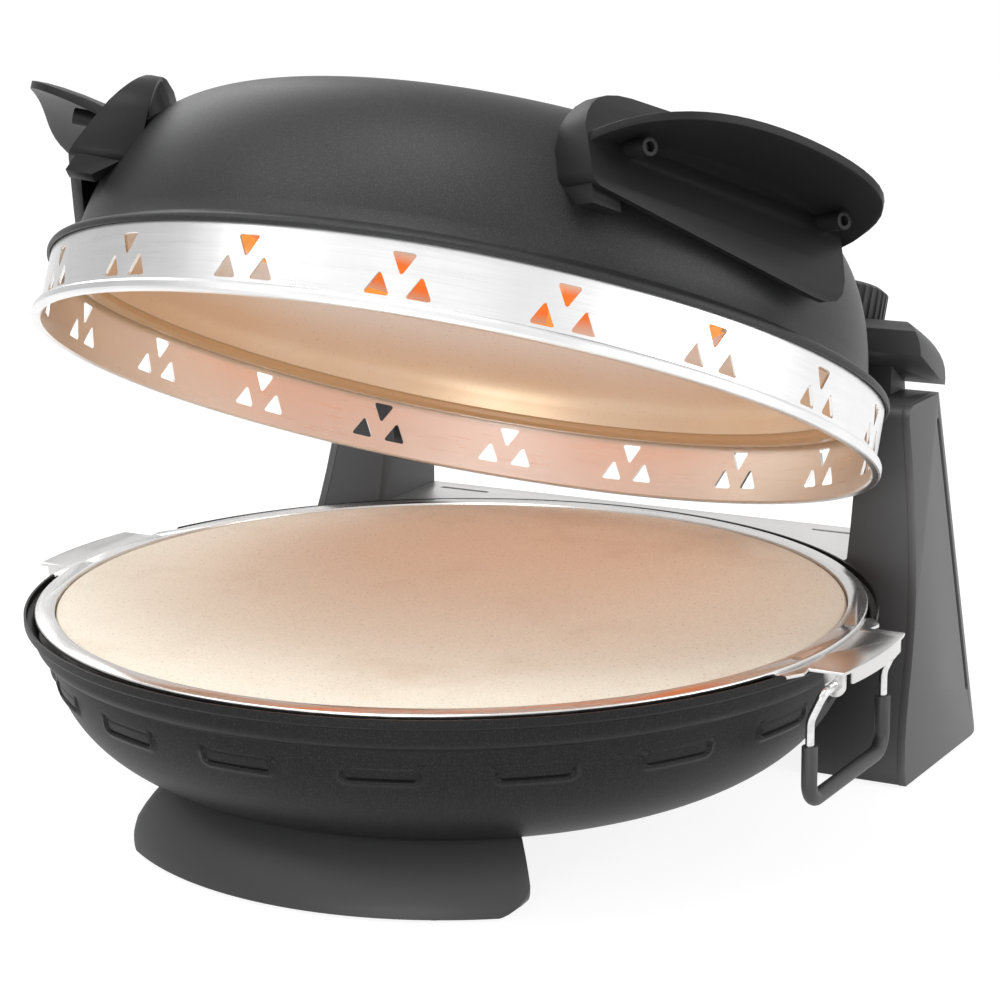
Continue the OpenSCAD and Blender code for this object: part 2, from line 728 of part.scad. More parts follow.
module lid_handle(side) color(black) on_side(side) at_handle() difference() {
    union() {
        handle_wing();
        handle_plate();
        handle_webs();
        handle_blocks();
        handle_bosses();
    }
    rotate([0, 0, 90 - handle_angle]) dome_space();
    for (y = screw_y) translate([160, y, screw_z]) rotate([0, 90, 0]) cylinder(r = screw_r, h = 20);
}
module lid_handle_right() lid_handle(1);
module lid_handle_left() lid_handle(-1);

module handle_screws() color(dark_steel) for (side = [-1, 1]) on_side(side) at_handle()
    for (y = screw_y) translate([160, y, screw_z]) rotate([0, 90, 0])
        cylinder(r = screw_r, h = 9);

// Control

module thermostat() color(cream) translate([knob_x, knob_y, 60]) difference() {
    cylinder(r = thermostat_r, h = 15);
    translate([0, 0, 5]) cylinder(r = shaft_r + 0.05, h = 20);
}

module knob_shaft() color(steel) translate([knob_x, knob_y, 66])
    cylinder(r = shaft_r, h = bridge_top + 12 - 66);

// Ribbed knob with a bevelled crown
module control_knob() color(black) translate([knob_x, knob_y, bridge_top + 0.5]) difference() {
    intersection() {
        linear_extrude(knob_h) difference() {
            circle(r = knob_r);
            for (i = [0:knob_ribs - 1]) rotate(i * 360 / knob_ribs) translate([knob_r, 0]) circle(r = 1.1);
        }
        rotate_extrude() polygon([[0, 0], [knob_r, 0], [knob_r, knob_h - 2], [knob_r - 3, knob_h], [0, knob_h]]);
    }
    translate([0, 0, -1]) cylinder(r = shaft_r, h = 12.5);
    translate([-1, -knob_r + 1, knob_h - 0.8]) cube([2, knob_r - 5, 2]);
}

// Tray and stone

module tray_ring() color(steel) difference() {
    rotate_extrude() polygon([[tray_r, rim_bottom], [tray_r, rim_top - 0.5], [tray_r - 0.4, rim_top],
        [tray_wall_r, rim_top], [tray_wall_r, ledge_z], [ledge_r, ledge_z], [ledge_r, ledge_z - 0.8],
        [tray_wall_r + 1, ledge_z - 0.8], [tray_wall_r + 1, rim_bottom]]);
    rivet_places() cylinder(r = 2, h = 20, center = true);
}

module rivet_places() for (side = [0, 180]) for (a = [-9, 9])
    rotate([0, 0, side + a]) translate([170.2, 0, rim_bottom]) children();

module bracket_rivets() color(steel) rivet_places() translate([0, 0, -bracket_t])
    cylinder(r = 2, h = bracket_t + rim_top - rim_bottom);

// Side bracket: a flat ear plate with a turned-down edge and two lugs for the bail
module tray_bracket(side) color(steel) on_side(side) {
    difference() {
        intersection() {
            translate([0, 0, bracket_z]) linear_extrude(bracket_t) difference() {
                circle(r = bracket_r);
                circle(r = tray_wall_r + 1.4);
            }
            bracket_plan();
        }
        rivet_places() cylinder(r = 2, h = 20, center = true);
    }
    // Turned-down edge
    intersection() {
        translate([0, 0, bail_z + 1]) rotate_extrude()
            translate([bracket_r - bracket_t, 0]) square([bracket_t, bracket_z - bail_z - 1]);
        translate([150, -25, 0]) cube([60, 50, 120]);
    }
    for (y = [-1, 1]) difference() {
        union() {
            translate([bail_x - 4.5, y * 27 - 0.6, bail_z]) cube([9, bracket_t, bracket_z - bail_z]);
            translate([bail_x, y * 27 + 0.6, bail_z]) rotate([90, 0, 0]) cylinder(r = 4.5, h = bracket_t);
        }
        translate([bail_x, y * 27 + 2, bail_z]) rotate([90, 0, 0]) cylinder(r = wire_r + pin_fit, h = 4);
    }
}
module bracket_plan() translate([0, 0, 60]) linear_extrude(60) polygon(concat(
    [[150, -46], [172, -46], [176, -39], [175, -32], [189.5, -32]],
    [[200, -24], [200, 24]],
    [[189.5, 32], [175, 32], [176, 39], [172, 46], [150, 46]]));
module tray_bracket_right() tray_bracket(1);
module tray_bracket_left() tray_bracket(-1);

module pizza_stone() color(cream) rotate_extrude() polygon([[0, stone_z], [stone_r - 1, stone_z],
    [stone_r, stone_z + 1], [stone_r, stone_top - 1], [stone_r - 1, stone_top], [0, stone_top]]);

// Bail: a wire loop that hangs from the lugs, drawn in toward the body, with a rubber sleeve

module bail_wire() {
    slant = atan((bail_x - bail_low_x) / (bail_z - bail_knee_z));
    knee_len = bail_knee_r * tan(slant / 2);
    slant_len = norm([bail_x - bail_low_x, bail_z - bail_knee_z]) - bail_top_r - knee_len;
    drop = bail_knee_z - bail_low_z - knee_len - bail_corner_r;
    stub = [["go", bail_half - bail_stub_y - bail_top_r]];
    elbow = [["turn", bail_top_r, 90]];
    slope = [["go", slant_len]];
    knee = [["roll", 90], ["turn", bail_knee_r, slant], ["roll", -90]];
    leg = [["go", drop]];
    corner = [["turn", bail_corner_r, 90]];
    bottom = [["go", 2 * (bail_half - bail_corner_r)]];
    translate([bail_x, -bail_stub_y, bail_z]) rotate([0, slant, 0])
        rotate([0, 0, -90]) rotate([-90, 0, 0])
            rod(wire_r, concat(stub, elbow, slope, knee, leg, corner, bottom,
                corner, leg, knee, slope, elbow, stub));
    for (y = [-1, 1]) translate([bail_x, y * (bail_stub_y + 0.6), bail_z])
        rotate([90, 0, 0]) cylinder(r = 2.6, h = 1.2, center = true);
}

// The sleeve's centre line, made longer by extra at both ends
module sleeve_path(r, extra) {
    leg = grip_top_z - bail_low_z - bail_corner_r + extra;
    translate([bail_low_x, -bail_half, grip_top_z + extra]) rotate([0, 90, 0])
        rod(r, [["go", leg], ["turn", bail_corner_r, 90], ["go", 2 * (bail_half - bail_corner_r)],
            ["turn", bail_corner_r, 90], ["go", leg]]);
}

module bail(side) color(steel) turned(side) bail_wire();
module bail_right() bail(1);
module bail_left() bail(-1);

module grip(side) color(rubber) turned(side) difference() {
    sleeve_path(grip_r, 0);
    sleeve_path(wire_r, 1);
}
module grip_right() grip(1);
module grip_left() grip(-1);

on_base() base_bowl();
on_base() base_rim();
on_base() base_liner();
on_base() lower_heater();
on_base() lower_heater_clips();
on_base() front_foot();
on_base() foot_pads();
on_base() tower_right();
on_base() tower_left();
on_base() tower_cover_right();
on_base() tower_cover_left();
on_base() rear_deck();
on_base() rear_housing();
on_base() rear_housing_cover();
on_base() terminal_block();
on_base() cord_inlet();
on_base() housing_screws();
on_base() hinge_pins();
on_base() hinge_washers();
on_base() tray_ring();
on_base() tray_bracket_right();
on_base() tray_bracket_left();
on_base() bracket_rivets();
on_base() pizza_stone();
on_base() bail_right();
on_base() grip_right();
on_base() bail_left();
on_base() grip_left();
on_lid() lid_dome();
on_lid() lid_band();
on_lid() lid_reflector();
on_lid() lid_trim_ring();
on_lid() upper_heater();
on_lid() upper_heater_clips();
on_lid() lid_bridge();
on_lid() hinge_arm_right();
on_lid() hinge_arm_left();
on_lid() lid_handle_right();
on_lid() lid_handle_left();
on_lid() handle_screws();
on_lid() thermostat();
on_lid() control_knob();
on_lid() knob_shaft();
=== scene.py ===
"""Looks of an electric pizza maker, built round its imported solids.

The base is a round pressed-steel body with a stone plate in a lift-out tray, and a domed lid
stands open between two rear towers. Lengths in the classes are millimetres unless a name
ends in _m, angles are degrees, and cells and lines of a pattern are counted for each metre.
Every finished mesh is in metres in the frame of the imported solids.
"""

import json
import logging
import math
from collections.abc import Callable, Iterator, Sequence
from contextlib import contextmanager
from dataclasses import dataclass
from enum import Enum

import bmesh
import bpy
from mathutils import Matrix, Vector

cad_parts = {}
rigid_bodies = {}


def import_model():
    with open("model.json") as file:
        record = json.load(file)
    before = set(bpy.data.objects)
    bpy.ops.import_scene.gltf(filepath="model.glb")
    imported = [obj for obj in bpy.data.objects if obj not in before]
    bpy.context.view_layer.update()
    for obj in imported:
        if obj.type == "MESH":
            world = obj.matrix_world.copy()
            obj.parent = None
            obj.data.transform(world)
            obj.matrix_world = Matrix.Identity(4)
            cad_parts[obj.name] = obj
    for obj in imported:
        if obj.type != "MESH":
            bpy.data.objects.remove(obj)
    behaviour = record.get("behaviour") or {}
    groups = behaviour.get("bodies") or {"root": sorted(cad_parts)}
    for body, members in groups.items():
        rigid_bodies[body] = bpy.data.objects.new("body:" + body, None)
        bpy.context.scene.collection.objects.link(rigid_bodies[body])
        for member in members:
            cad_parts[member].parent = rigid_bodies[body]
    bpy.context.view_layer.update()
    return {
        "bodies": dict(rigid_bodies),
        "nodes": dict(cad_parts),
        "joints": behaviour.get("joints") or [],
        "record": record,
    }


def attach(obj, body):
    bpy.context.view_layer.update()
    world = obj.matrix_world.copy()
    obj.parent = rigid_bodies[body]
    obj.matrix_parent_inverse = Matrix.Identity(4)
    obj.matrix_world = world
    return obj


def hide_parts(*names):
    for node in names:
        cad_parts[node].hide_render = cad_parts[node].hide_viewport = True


log = logging.getLogger("pizza_maker")

MM = 0.001
TO_MM = 1000.0
Colour = tuple[float, float, float]
Point = tuple[float, float, float]
Profile = list[tuple[float, float]]


class Place(Enum):
    """The frame in which a piece or a pattern is laid out."""

    ROOM = "room"
    BASE = "base"
    LID = "lid"


class Lay(Enum):
    """The direction in which steel was brushed."""

    ROUND = "round"
    ALONG_X = "along_x"
    ALONG_Y = "along_y"


@dataclass(frozen=True)
class Layout:
    """Where the base and the open lid stand in the frame of the solids."""

    base_y: float = -11.0
    hinge_y: float = 187.5
    hinge_z: float = 122.5
    hinge_lid_z: float = 29.3
    lid_open: float = 23.8

    def matrix(self, place: Place) -> Matrix:
        """Gives the matrix that takes a piece from its own frame to the room's.

        Args:
            place: The frame in which the piece is drawn.

        Returns:
            A matrix for points in metres.
        """
        if place is Place.ROOM:
            return Matrix.Identity(4)
        if place is Place.BASE:
            return Matrix.Translation((0, self.base_y * MM, 0))
        hinge = Matrix.Translation((0, (self.hinge_y + self.base_y) * MM, self.hinge_z * MM))
        tilt = Matrix.Rotation(-math.radians(self.lid_open), 4, "X")
        return hinge @ tilt @ Matrix.Translation((0, -self.hinge_y * MM, -self.hinge_lid_z * MM))


LAYOUT = Layout()


class Sock:
    """A node's output that takes part in Python arithmetic."""

    def __init__(self, book: "Book", out: bpy.types.NodeSocket) -> None:
        """Keeps the tree and the output."""
        self.book = book
        self.out = out

    def __add__(self, other: "Sock | float") -> "Sock":
        """Adds."""
        return self.book.maths("ADD", self, other)

    def __radd__(self, other: float) -> "Sock":
        """Adds to a number."""
        return self.book.maths("ADD", other, self)

    def __sub__(self, other: "Sock | float") -> "Sock":
        """Subtracts."""
        return self.book.maths("SUBTRACT", self, other)

    def __rsub__(self, other: float) -> "Sock":
        """Subtracts from a number."""
        return self.book.maths("SUBTRACT", other, self)

    def __mul__(self, other: "Sock | float") -> "Sock":
        """Multiplies."""
        return self.book.maths("MULTIPLY", self, other)

    def __rmul__(self, other: float) -> "Sock":
        """Multiplies a number."""
        return self.book.maths("MULTIPLY", other, self)

    def __truediv__(self, other: "Sock | float") -> "Sock":
        """Divides."""
        return self.book.maths("DIVIDE", self, other)

    def __pow__(self, other: float) -> "Sock":
        """Raises to a power."""
        return self.book.maths("POWER", self, other)

    def size(self) -> "Sock":
        """Gives the value without its sign."""
        return self.book.maths("ABSOLUTE", self, 0)

    def least(self, other: "Sock | float") -> "Sock":
        """Gives the smaller of two values."""
        return self.book.maths("MINIMUM", self, other)

    def most(self, other: "Sock | float") -> "Sock":
        """Gives the larger of two values."""
        return self.book.maths("MAXIMUM", self, other)

    def rise(self, low: float, high: float) -> "Sock":
        """Runs smoothly from 0 at low to 1 at high, and the other way round if low is above high.

        Args:
            low: The value that gives 0.
            high: The value that gives 1.

        Returns:
            The smooth step.
        """
        turned = low > high
        node = self.book.node(
            "ShaderNodeMapRange",
            {"interpolation_type": "SMOOTHSTEP"},
            {"Value": self, "From Min": min(low, high), "From Max": max(low, high)},
        )
        step = Sock(self.book, node.outputs["Result"])
        return 1.0 - step if turned else step

    def bump(self, middle: float, width: float) -> "Sock":
        """Gives a soft hill of height 1 about a value.

        Args:
            middle: The value at the top of the hill.
            width: The distance at which the hill has fallen to about a third.

        Returns:
            The hill.
        """
        t = (self - middle) * (1 / width)
        return self.book.maths("EXPONENT", (t * t) * -1.0, 0)


Value = Sock | float | int | bool | tuple | str | bpy.types.NodeSocket | bpy.types.Material


class Book:
    """Writes the nodes of one tree, for a material or for geometry."""

    def __init__(self, tree: bpy.types.NodeTree) -> None:
        """Keeps the tree."""
        self.tree = tree

    def node(
        self, kind: str, settings: dict[str, object], inputs: dict[str | int, Value]
    ) -> bpy.types.Node:
        """Adds one node.

        Args:
            kind: The node's type.
            settings: Its properties, set first.
            inputs: Values or links for its sockets, by name or number.

        Returns:
            The node.
        """
        made = self.tree.nodes.new(kind)
        for key, value in settings.items():
            setattr(made, key, value)
        for key, value in inputs.items():
            socket = made.inputs[key]
            if isinstance(value, Sock):
                self.tree.links.new(value.out, socket)
            elif isinstance(value, bpy.types.NodeSocket):
                self.tree.links.new(value, socket)
            else:
                socket.default_value = value
        return made

    def maths(self, operation: str, a: Value, b: Value) -> Sock:
        """Adds one Math node and gives its result."""
        return Sock(self, self.node("ShaderNodeMath", {"operation": operation}, {0: a, 1: b}).outputs[0])

    def parts(self, vector: Sock) -> tuple[Sock, Sock, Sock]:
        """Splits a vector into its three numbers."""
        split = self.node("ShaderNodeSeparateXYZ", {}, {0: vector})
        return tuple(Sock(self, split.outputs[i]) for i in range(3))

    def vector(self, x: Value, y: Value, z: Value) -> Sock:
        """Joins three numbers into a vector."""
        return Sock(self, self.node("ShaderNodeCombineXYZ", {}, {0: x, 1: y, 2: z}).outputs[0])


def diagonal(x: Sock, y: Sock) -> Sock:
    """Gives the length of the diagonal over two lengths."""
    return (x * x + y * y) ** 0.5


def grey(tone: float) -> tuple[float, float, float, float]:
    """Gives an opaque grey for a colour socket."""
    return (tone, tone, tone, 1.0)


class ShaderBook(Book):
    """Writes the nodes of one material."""

    def __init__(self, name: str) -> None:
        """Makes an empty material.

        Args:
            name: The material's name.
        """
        self.material = bpy.data.materials.new(name)
        self.material.use_nodes = True
        super().__init__(self.material.node_tree)
        self.tree.nodes.clear()

    def point(self, place: Place = Place.ROOM) -> Sock:
        """Gives the surface point in a piece's own frame, in metres.

        Args:
            place: The frame in which the pattern is laid out.

        Returns:
            The point.
        """
        here = self.node("ShaderNodeTexCoord", {}, {}).outputs["Object"]
        back = LAYOUT.matrix(place).inverted()
        move = {"Vector": here, "Location": tuple(back.translation), "Rotation": tuple(back.to_euler())}
        return Sock(self, self.node("ShaderNodeMapping", {}, move).outputs[0])

    def noise(self, at: Sock, scale: float, detail: float = 2.0, rough: float = 0.5) -> Sock:
        """Gives smooth noise from about 0.2 to 0.8.

        Args:
            at: The point.
            scale: Cells for each metre.
            detail: How many finer layers are added.
            rough: How strong the finer layers are.

        Returns:
            The noise.
        """
        made = self.node(
            "ShaderNodeTexNoise", {}, {"Vector": at, "Scale": scale, "Detail": detail, "Roughness": rough}
        )
        return Sock(self, made.outputs["Fac"])

    def blend(self, a: Value, b: Value, share: Value) -> Sock:
        """Mixes two colours.

        Args:
            a: The colour at share 0.
            b: The colour at share 1.
            share: From 0 to 1.

        Returns:
            The mixed colour.
        """
        made = self.node("ShaderNodeMix", {"data_type": "RGBA"}, {})
        for socket, value in ((made.inputs[0], share), (made.inputs[6], a), (made.inputs[7], b)):
            if isinstance(value, Sock):
                self.tree.links.new(value.out, socket)
            elif isinstance(value, tuple):
                socket.default_value = (*value, 1.0)[:4]
            else:
                socket.default_value = value
        return Sock(self, made.outputs[2])

    def relief(self, height: Sock, depth_m: float, strength: float) -> Sock:
        """Turns a height from 0 to 1 into a bumped normal of that depth in metres."""
        sizes = {"Height": height, "Distance": depth_m, "Strength": strength}
        return Sock(self, self.node("ShaderNodeBump", {}, sizes).outputs[0])

    def surface(self, inputs: dict[str, Value]) -> bpy.types.Material:
        """Ends the material in a Principled shader.

        Args:
            inputs: Values or links for its sockets.

        Returns:
            The material.
        """
        shader = self.node("ShaderNodeBsdfPrincipled", {}, inputs)
        self.node("ShaderNodeOutputMaterial", {}, {"Surface": shader.outputs[0]})
        return self.material


def toned(colour: Colour, factor: float) -> Colour:
    """Gives a colour made darker or lighter by a factor, up to full brightness."""
    return tuple(min(1.0, factor * c) for c in colour)


@dataclass(frozen=True)
class Finish:
    """A named finish. Each kind writes its own nodes."""

    name: str
    colour: Colour

    def shade(self, book: ShaderBook) -> bpy.types.Material:
        """Writes the nodes and gives the material."""
        raise NotImplementedError


@dataclass(frozen=True)
class FleckedPaint(Finish):
    """Satin stove paint with a fine bright fleck in it."""

    fleck: Colour = (0.085, 0.085, 0.088)
    roughness: float = 0.46
    gloss: float = 0.30
    place: Place = Place.ROOM
    grain_cells: float = 2300.0
    cloud_cells: float = 9.0
    spark_cells: float = 3400.0
    depth_m: float = 0.00002

    def shade(self, book: ShaderBook) -> bpy.types.Material:
        """Mixes cloud, grain and fleck, with a pebbled surface.

        Args:
            book: The material's nodes.

        Returns:
            The material.
        """
        at = book.point(self.place)
        grain = book.noise(at, self.grain_cells, 1.0, 0.5)
        cloud = book.noise(at, self.cloud_cells, 2.0)
        spark = book.noise(at, self.spark_cells, 0.0).rise(0.60, 0.74)
        tone = book.blend(toned(self.colour, 0.78), toned(self.colour, 1.22), grain.rise(0.25, 0.75))
        tone = book.blend(tone, self.fleck, spark * 0.40)
        return book.surface(
            {
                "Base Color": tone,
                "Roughness": self.roughness + (cloud - 0.5) * 0.08 - spark * 0.05,
                "Specular IOR Level": self.gloss,
                "Normal": book.relief(grain, self.depth_m, 0.45),
            }
        )


@dataclass(frozen=True)
class MouldedPlastic(Finish):
    """Moulded plastic with the fine grain of a spark-eroded mould."""

    roughness: float = 0.46
    gloss: float = 0.40
    grain_cells: float = 1800.0
    flow_cells: float = 14.0
    depth_m: float = 0.00003

    def shade(self, book: ShaderBook) -> bpy.types.Material:
        """Mixes a fine grain with a faint flow of tone.

        Args:
            book: The material's nodes.

        Returns:
            The material.
        """
        at = book.point()
        grain = book.noise(at, self.grain_cells, 3.0, 0.55)
        flow = book.noise(at, self.flow_cells, 2.0)
        tone = book.blend(toned(self.colour, 0.86), toned(self.colour, 1.16), grain * 0.6 + flow * 0.4)
        return book.surface(
            {
                "Base Color": tone,
                "Roughness": self.roughness + (flow - 0.5) * 0.10 + (grain - 0.5) * 0.06,
                "Specular IOR Level": self.gloss,
                "Normal": book.relief(grain, self.depth_m, 0.6),
            }
        )


@dataclass(frozen=True)
class BrushedSteel(Finish):
    """Steel sheet with fine brush lines in one direction."""

    lay: Lay = Lay.ROUND
    place: Place = Place.LID
    roughness: float = 0.30
    # A painted reflection: a warm tint on the inside of the sheet, where it would mirror the oven.
    painted_reflection: Colour | None = None
    reflection_inside: float = 0.0
    reflection_edge: float = 0.4
    fine_lines: float = 2600.0
    wide_lines: float = 420.0
    # Lines for each metre of the soft patches of painted shade.
    shade_patch_lines: float = 9.0
    along_lines: float = 14.0
    round_lines: float = 5.0
    across_flat: float = 0.7
    reflection_cells: float = 22.0
    depth_m: float = 0.00002

    def streaks(self, book: ShaderBook, fine: float) -> Sock:
        """Gives noise drawn out along the brush lines.

        Args:
            book: The material's nodes.
            fine: Lines for each metre across them.

        Returns:
            The noise.
        """
        x, y, z = book.parts(book.point(self.place))
        if self.lay is Lay.ROUND:
            far, turns = diagonal(x, y), self.round_lines
            at = book.vector(x / far * turns, y / far * turns, (z + far * self.across_flat) * fine)
        elif self.lay is Lay.ALONG_X:
            at = book.vector(x * self.along_lines, y * fine, z * fine)
        else:
            at = book.vector(x * fine, y * self.along_lines, z * fine)
        return book.noise(at, 1.0, 3.0, 0.6)

    def shade(self, book: ShaderBook) -> bpy.types.Material:
        """Mixes two widths of brush line with soft patches of painted shade, and paints a warm reflection
        of the oven on the inside of the band.

        Args:
            book: The material's nodes.

        Returns:
            The material.
        """
        fine, wide = self.streaks(book, self.fine_lines), self.streaks(book, self.wide_lines)
        lines = fine * 0.6 + wide * 0.4
        tone = book.blend(toned(self.colour, 0.96), toned(self.colour, 1.04), lines.rise(0.3, 0.7))
        # Painted shade: soft darker patches round the sheet that stand in for the shading of its
        # reflections.
        painted_shade_patches = self.streaks(book, self.shade_patch_lines).rise(0.32, 0.68)
        tone = book.blend(tone, toned(self.colour, 0.84), painted_shade_patches * 0.45)
        # Painted reflection: the inside of the band is tinted warm, as if it mirrored the oven.
        if self.painted_reflection:
            at = book.point(self.place)
            x, y, _ = book.parts(at)
            outer, inner = self.reflection_inside * MM, (self.reflection_inside - self.reflection_edge) * MM
            inside = diagonal(x, y).rise(outer, inner)
            cloud = book.noise(at, self.reflection_cells, 2.0)
            tone = book.blend(tone, self.painted_reflection, inside * (0.45 + cloud * 0.6))
        return book.surface(
            {
                "Base Color": tone,
                "Metallic": 1.0,
                "Roughness": self.roughness + (lines - 0.5) * 0.22,
                "Normal": book.relief(lines, self.depth_m, 0.35),
            }
        )


@dataclass(frozen=True)
class PlainSteel(Finish):
    """Zinc-plated or plain steel for screws, pins, wire and clips."""

    roughness: float = 0.28
    cloud_cells: float = 260.0

    def shade(self, book: ShaderBook) -> bpy.types.Material:
        """Mottles the tone and the gloss a little.

        Args:
            book: The material's nodes.

        Returns:
            The material.
        """
        cloud = book.noise(book.point(), self.cloud_cells, 3.0)
        tone = book.blend(toned(self.colour, 0.82), self.colour, cloud.rise(0.3, 0.7))
        rough = self.roughness + (cloud - 0.5) * 0.2
        return book.surface({"Base Color": tone, "Metallic": 1.0, "Roughness": rough})


@dataclass(frozen=True)
class HeatedSteel(Finish):
    """Sheath of a heating element: heat-darkened, and glowing while it is hot."""

    glow: Colour = (1.0, 0.22, 0.03)
    strength: float = 0.0
    metal: float = 0.6
    roughness: float = 0.5
    band_cells: float = 60.0

    def shade(self, book: ShaderBook) -> bpy.types.Material:
        """Mixes bands of heat colour, with the glow where the element has one.

        Args:
            book: The material's nodes.

        Returns:
            The material.
        """
        band = book.noise(book.point(), self.band_cells, 3.0)
        tone = book.blend(self.colour, toned(self.colour, 0.5), band.rise(0.35, 0.65))
        glow = book.blend(toned(self.glow, 0.7), self.glow, band.rise(0.3, 0.7))
        return book.surface(
            {
                "Base Color": tone,
                "Metallic": self.metal,
                "Roughness": self.roughness + (band - 0.5) * 0.2,
                "Emission Color": glow,
                "Emission Strength": self.strength,
            }
        )


@dataclass(frozen=True)
class Enamel(Finish):
    """Fired enamel that browns towards its rim, with the hot element's light painted round it."""

    rim: Colour = (0.55, 0.36, 0.19)
    speckle: Colour = (0.36, 0.28, 0.2)
    rim_from: float = 146.0
    rim_to: float = 168.0
    roughness: float = 0.34
    metal: float = 0.0
    # Painted light of the hot element: its glow colour, the tone it gives, and where and how far it
    # reaches.
    lit: Colour = (1.0, 0.19, 0.01)
    lit_tone: Colour = (0.90, 0.20, 0.01)
    lit_at: float = 0.0
    lit_reach: float = 21.0
    lit_strength: float = 0.6
    cloud_cells: float = 16.0
    speckle_cells: float = 900.0
    depth_m: float = 0.0002

    def shade(self, book: ShaderBook) -> bpy.types.Material:
        """Browns the enamel with distance from the lid's axis, and paints the hot element's light round it
        as an orange tone and a glow.

        Args:
            book: The material's nodes.

        Returns:
            The material.
        """
        at = book.point(Place.LID)
        x, y, _ = book.parts(at)
        far = diagonal(x, y)
        cloud = book.noise(at, self.cloud_cells, 3.0)
        speck = book.noise(at, self.speckle_cells, 1.0).rise(0.66, 0.74)
        brown = (far + (cloud - 0.5) * 0.012).rise(self.rim_from * MM, self.rim_to * MM)
        tone = book.blend(toned(self.colour, 0.94), self.colour, cloud.rise(0.3, 0.7))
        tone = book.blend(tone, self.rim, brown)
        tone = book.blend(tone, self.speckle, speck * 0.25)
        light: dict[str, Value] = {}
        # Painted light: an orange tone and a glow round the hot element, where its light falls on the
        # enamel.
        if self.lit_at:
            near = far.bump(self.lit_at * MM, self.lit_reach * MM)
            tone = book.blend(tone, self.lit_tone, near.rise(0.0, 0.8))
            light["Emission Color"] = book.blend((0.0, 0.0, 0.0), self.lit, near * (0.4 + cloud * 0.6))
            light["Emission Strength"] = self.lit_strength
        return book.surface(
            {
                "Base Color": tone,
                "Metallic": self.metal,
                "Roughness": self.roughness + (cloud - 0.5) * 0.12,
                "Normal": book.relief(cloud, self.depth_m, 0.2),
                **light,
            }
        )


@dataclass(frozen=True)
class FiredStone(Finish):
    """Unglazed cordierite with grains, pores and faint baking marks."""

    baked: Colour = (0.52, 0.36, 0.22)
    roughness: float = 0.82
    grain_cells: float = 1100.0
    pore_cells: float = 620.0
    patch_cells: float = 11.0
    depth_m: float = 0.00015

    def shade(self, book: ShaderBook) -> bpy.types.Material:
        """Mixes grains, pores darkened with painted shade, and soft baked patches.

        Args:
            book: The material's nodes.

        Returns:
            The material.
        """
        at = book.point(Place.BASE)
        grain = book.noise(at, self.grain_cells, 3.0, 0.7)
        pore_pit_and_shade = book.noise(at, self.pore_cells, 1.0).rise(0.66, 0.72)
        patch = book.noise(at, self.patch_cells, 4.0, 0.6).rise(0.50, 0.74)
        tone = book.blend(toned(self.colour, 0.90), toned(self.colour, 1.06), grain.rise(0.3, 0.7))
        tone = book.blend(tone, self.baked, patch * 0.28)
        # The pores are pits in the relief, and their darkening is painted shade in them.
        tone = book.blend(tone, toned(self.colour, 0.45), pore_pit_and_shade * 0.45)
        rough = self.roughness - patch * 0.08
        normal = book.relief(grain * 0.5 - pore_pit_and_shade * 0.5 + 0.5, self.depth_m, 0.7)
        return book.surface({"Base Color": tone, "Roughness": rough, "Normal": normal})


@dataclass(frozen=True)
class SoftRubber(Finish):
    """Dull rubber or dipped vinyl."""

    roughness: float = 0.62
    dust_cells: float = 1300.0
    bloom_cells: float = 45.0
    depth_m: float = 0.00003

    def shade(self, book: ShaderBook) -> bpy.types.Material:
        """Adds fine dust and a faint bloom.

        Args:
            book: The material's nodes.

        Returns:
            The material.
        """
        at = book.point()
        dust, bloom = book.noise(at, self.dust_cells, 3.0), book.noise(at, self.bloom_cells, 2.0)
        tone = book.blend(self.colour, toned(self.colour, 1.7), dust * 0.5 + bloom * 0.4)
        rough = self.roughness + (dust - 0.5) * 0.15
        normal = book.relief(dust, self.depth_m, 0.5)
        return book.surface({"Base Color": tone, "Roughness": rough, "Normal": normal})


@dataclass(frozen=True)
class GlazedCeramic(Finish):
    """Steatite for terminals and the thermostat's body."""

    roughness: float = 0.5
    cloud_cells: float = 70.0
    grain_cells: float = 1200.0
    depth_m: float = 0.00003

    def shade(self, book: ShaderBook) -> bpy.types.Material:
        """Mixes two pale tones with fine grain.

        Args:
            book: The material's nodes.

        Returns:
            The material.
        """
        at = book.point()
        cloud, grain = book.noise(at, self.cloud_cells, 3.0), book.noise(at, self.grain_cells, 2.0)
        tone = book.blend(toned(self.colour, 0.86), self.colour, cloud * 0.6 + grain * 0.4)
        rough = self.roughness + (grain - 0.5) * 0.1
        normal = book.relief(grain, self.depth_m, 0.4)
        return book.surface({"Base Color": tone, "Roughness": rough, "Normal": normal})


class Paintbox:
    """Makes each finish once."""

    def __init__(self) -> None:
        """Starts with no materials."""
        self.made: dict[str, bpy.types.Material] = {}

    def of(self, finish: Finish) -> bpy.types.Material:
        """Gives a finish's material, made on first use.

        Args:
            finish: The finish.

        Returns:
            The material.
        """
        if finish.name not in self.made:
            self.made[finish.name] = finish.shade(ShaderBook(finish.name))
        return self.made[finish.name]

    def dress(self, obj: bpy.types.Object, finish: Finish) -> None:
        """Gives an object one finish all over.

        Args:
            obj: The object.
            finish: The finish.
        """
        material = self.of(finish)
        if not obj.material_slots:
            obj.data.materials.append(material)
        for slot in obj.material_slots:
            slot.material = material


PAINT = Paintbox()

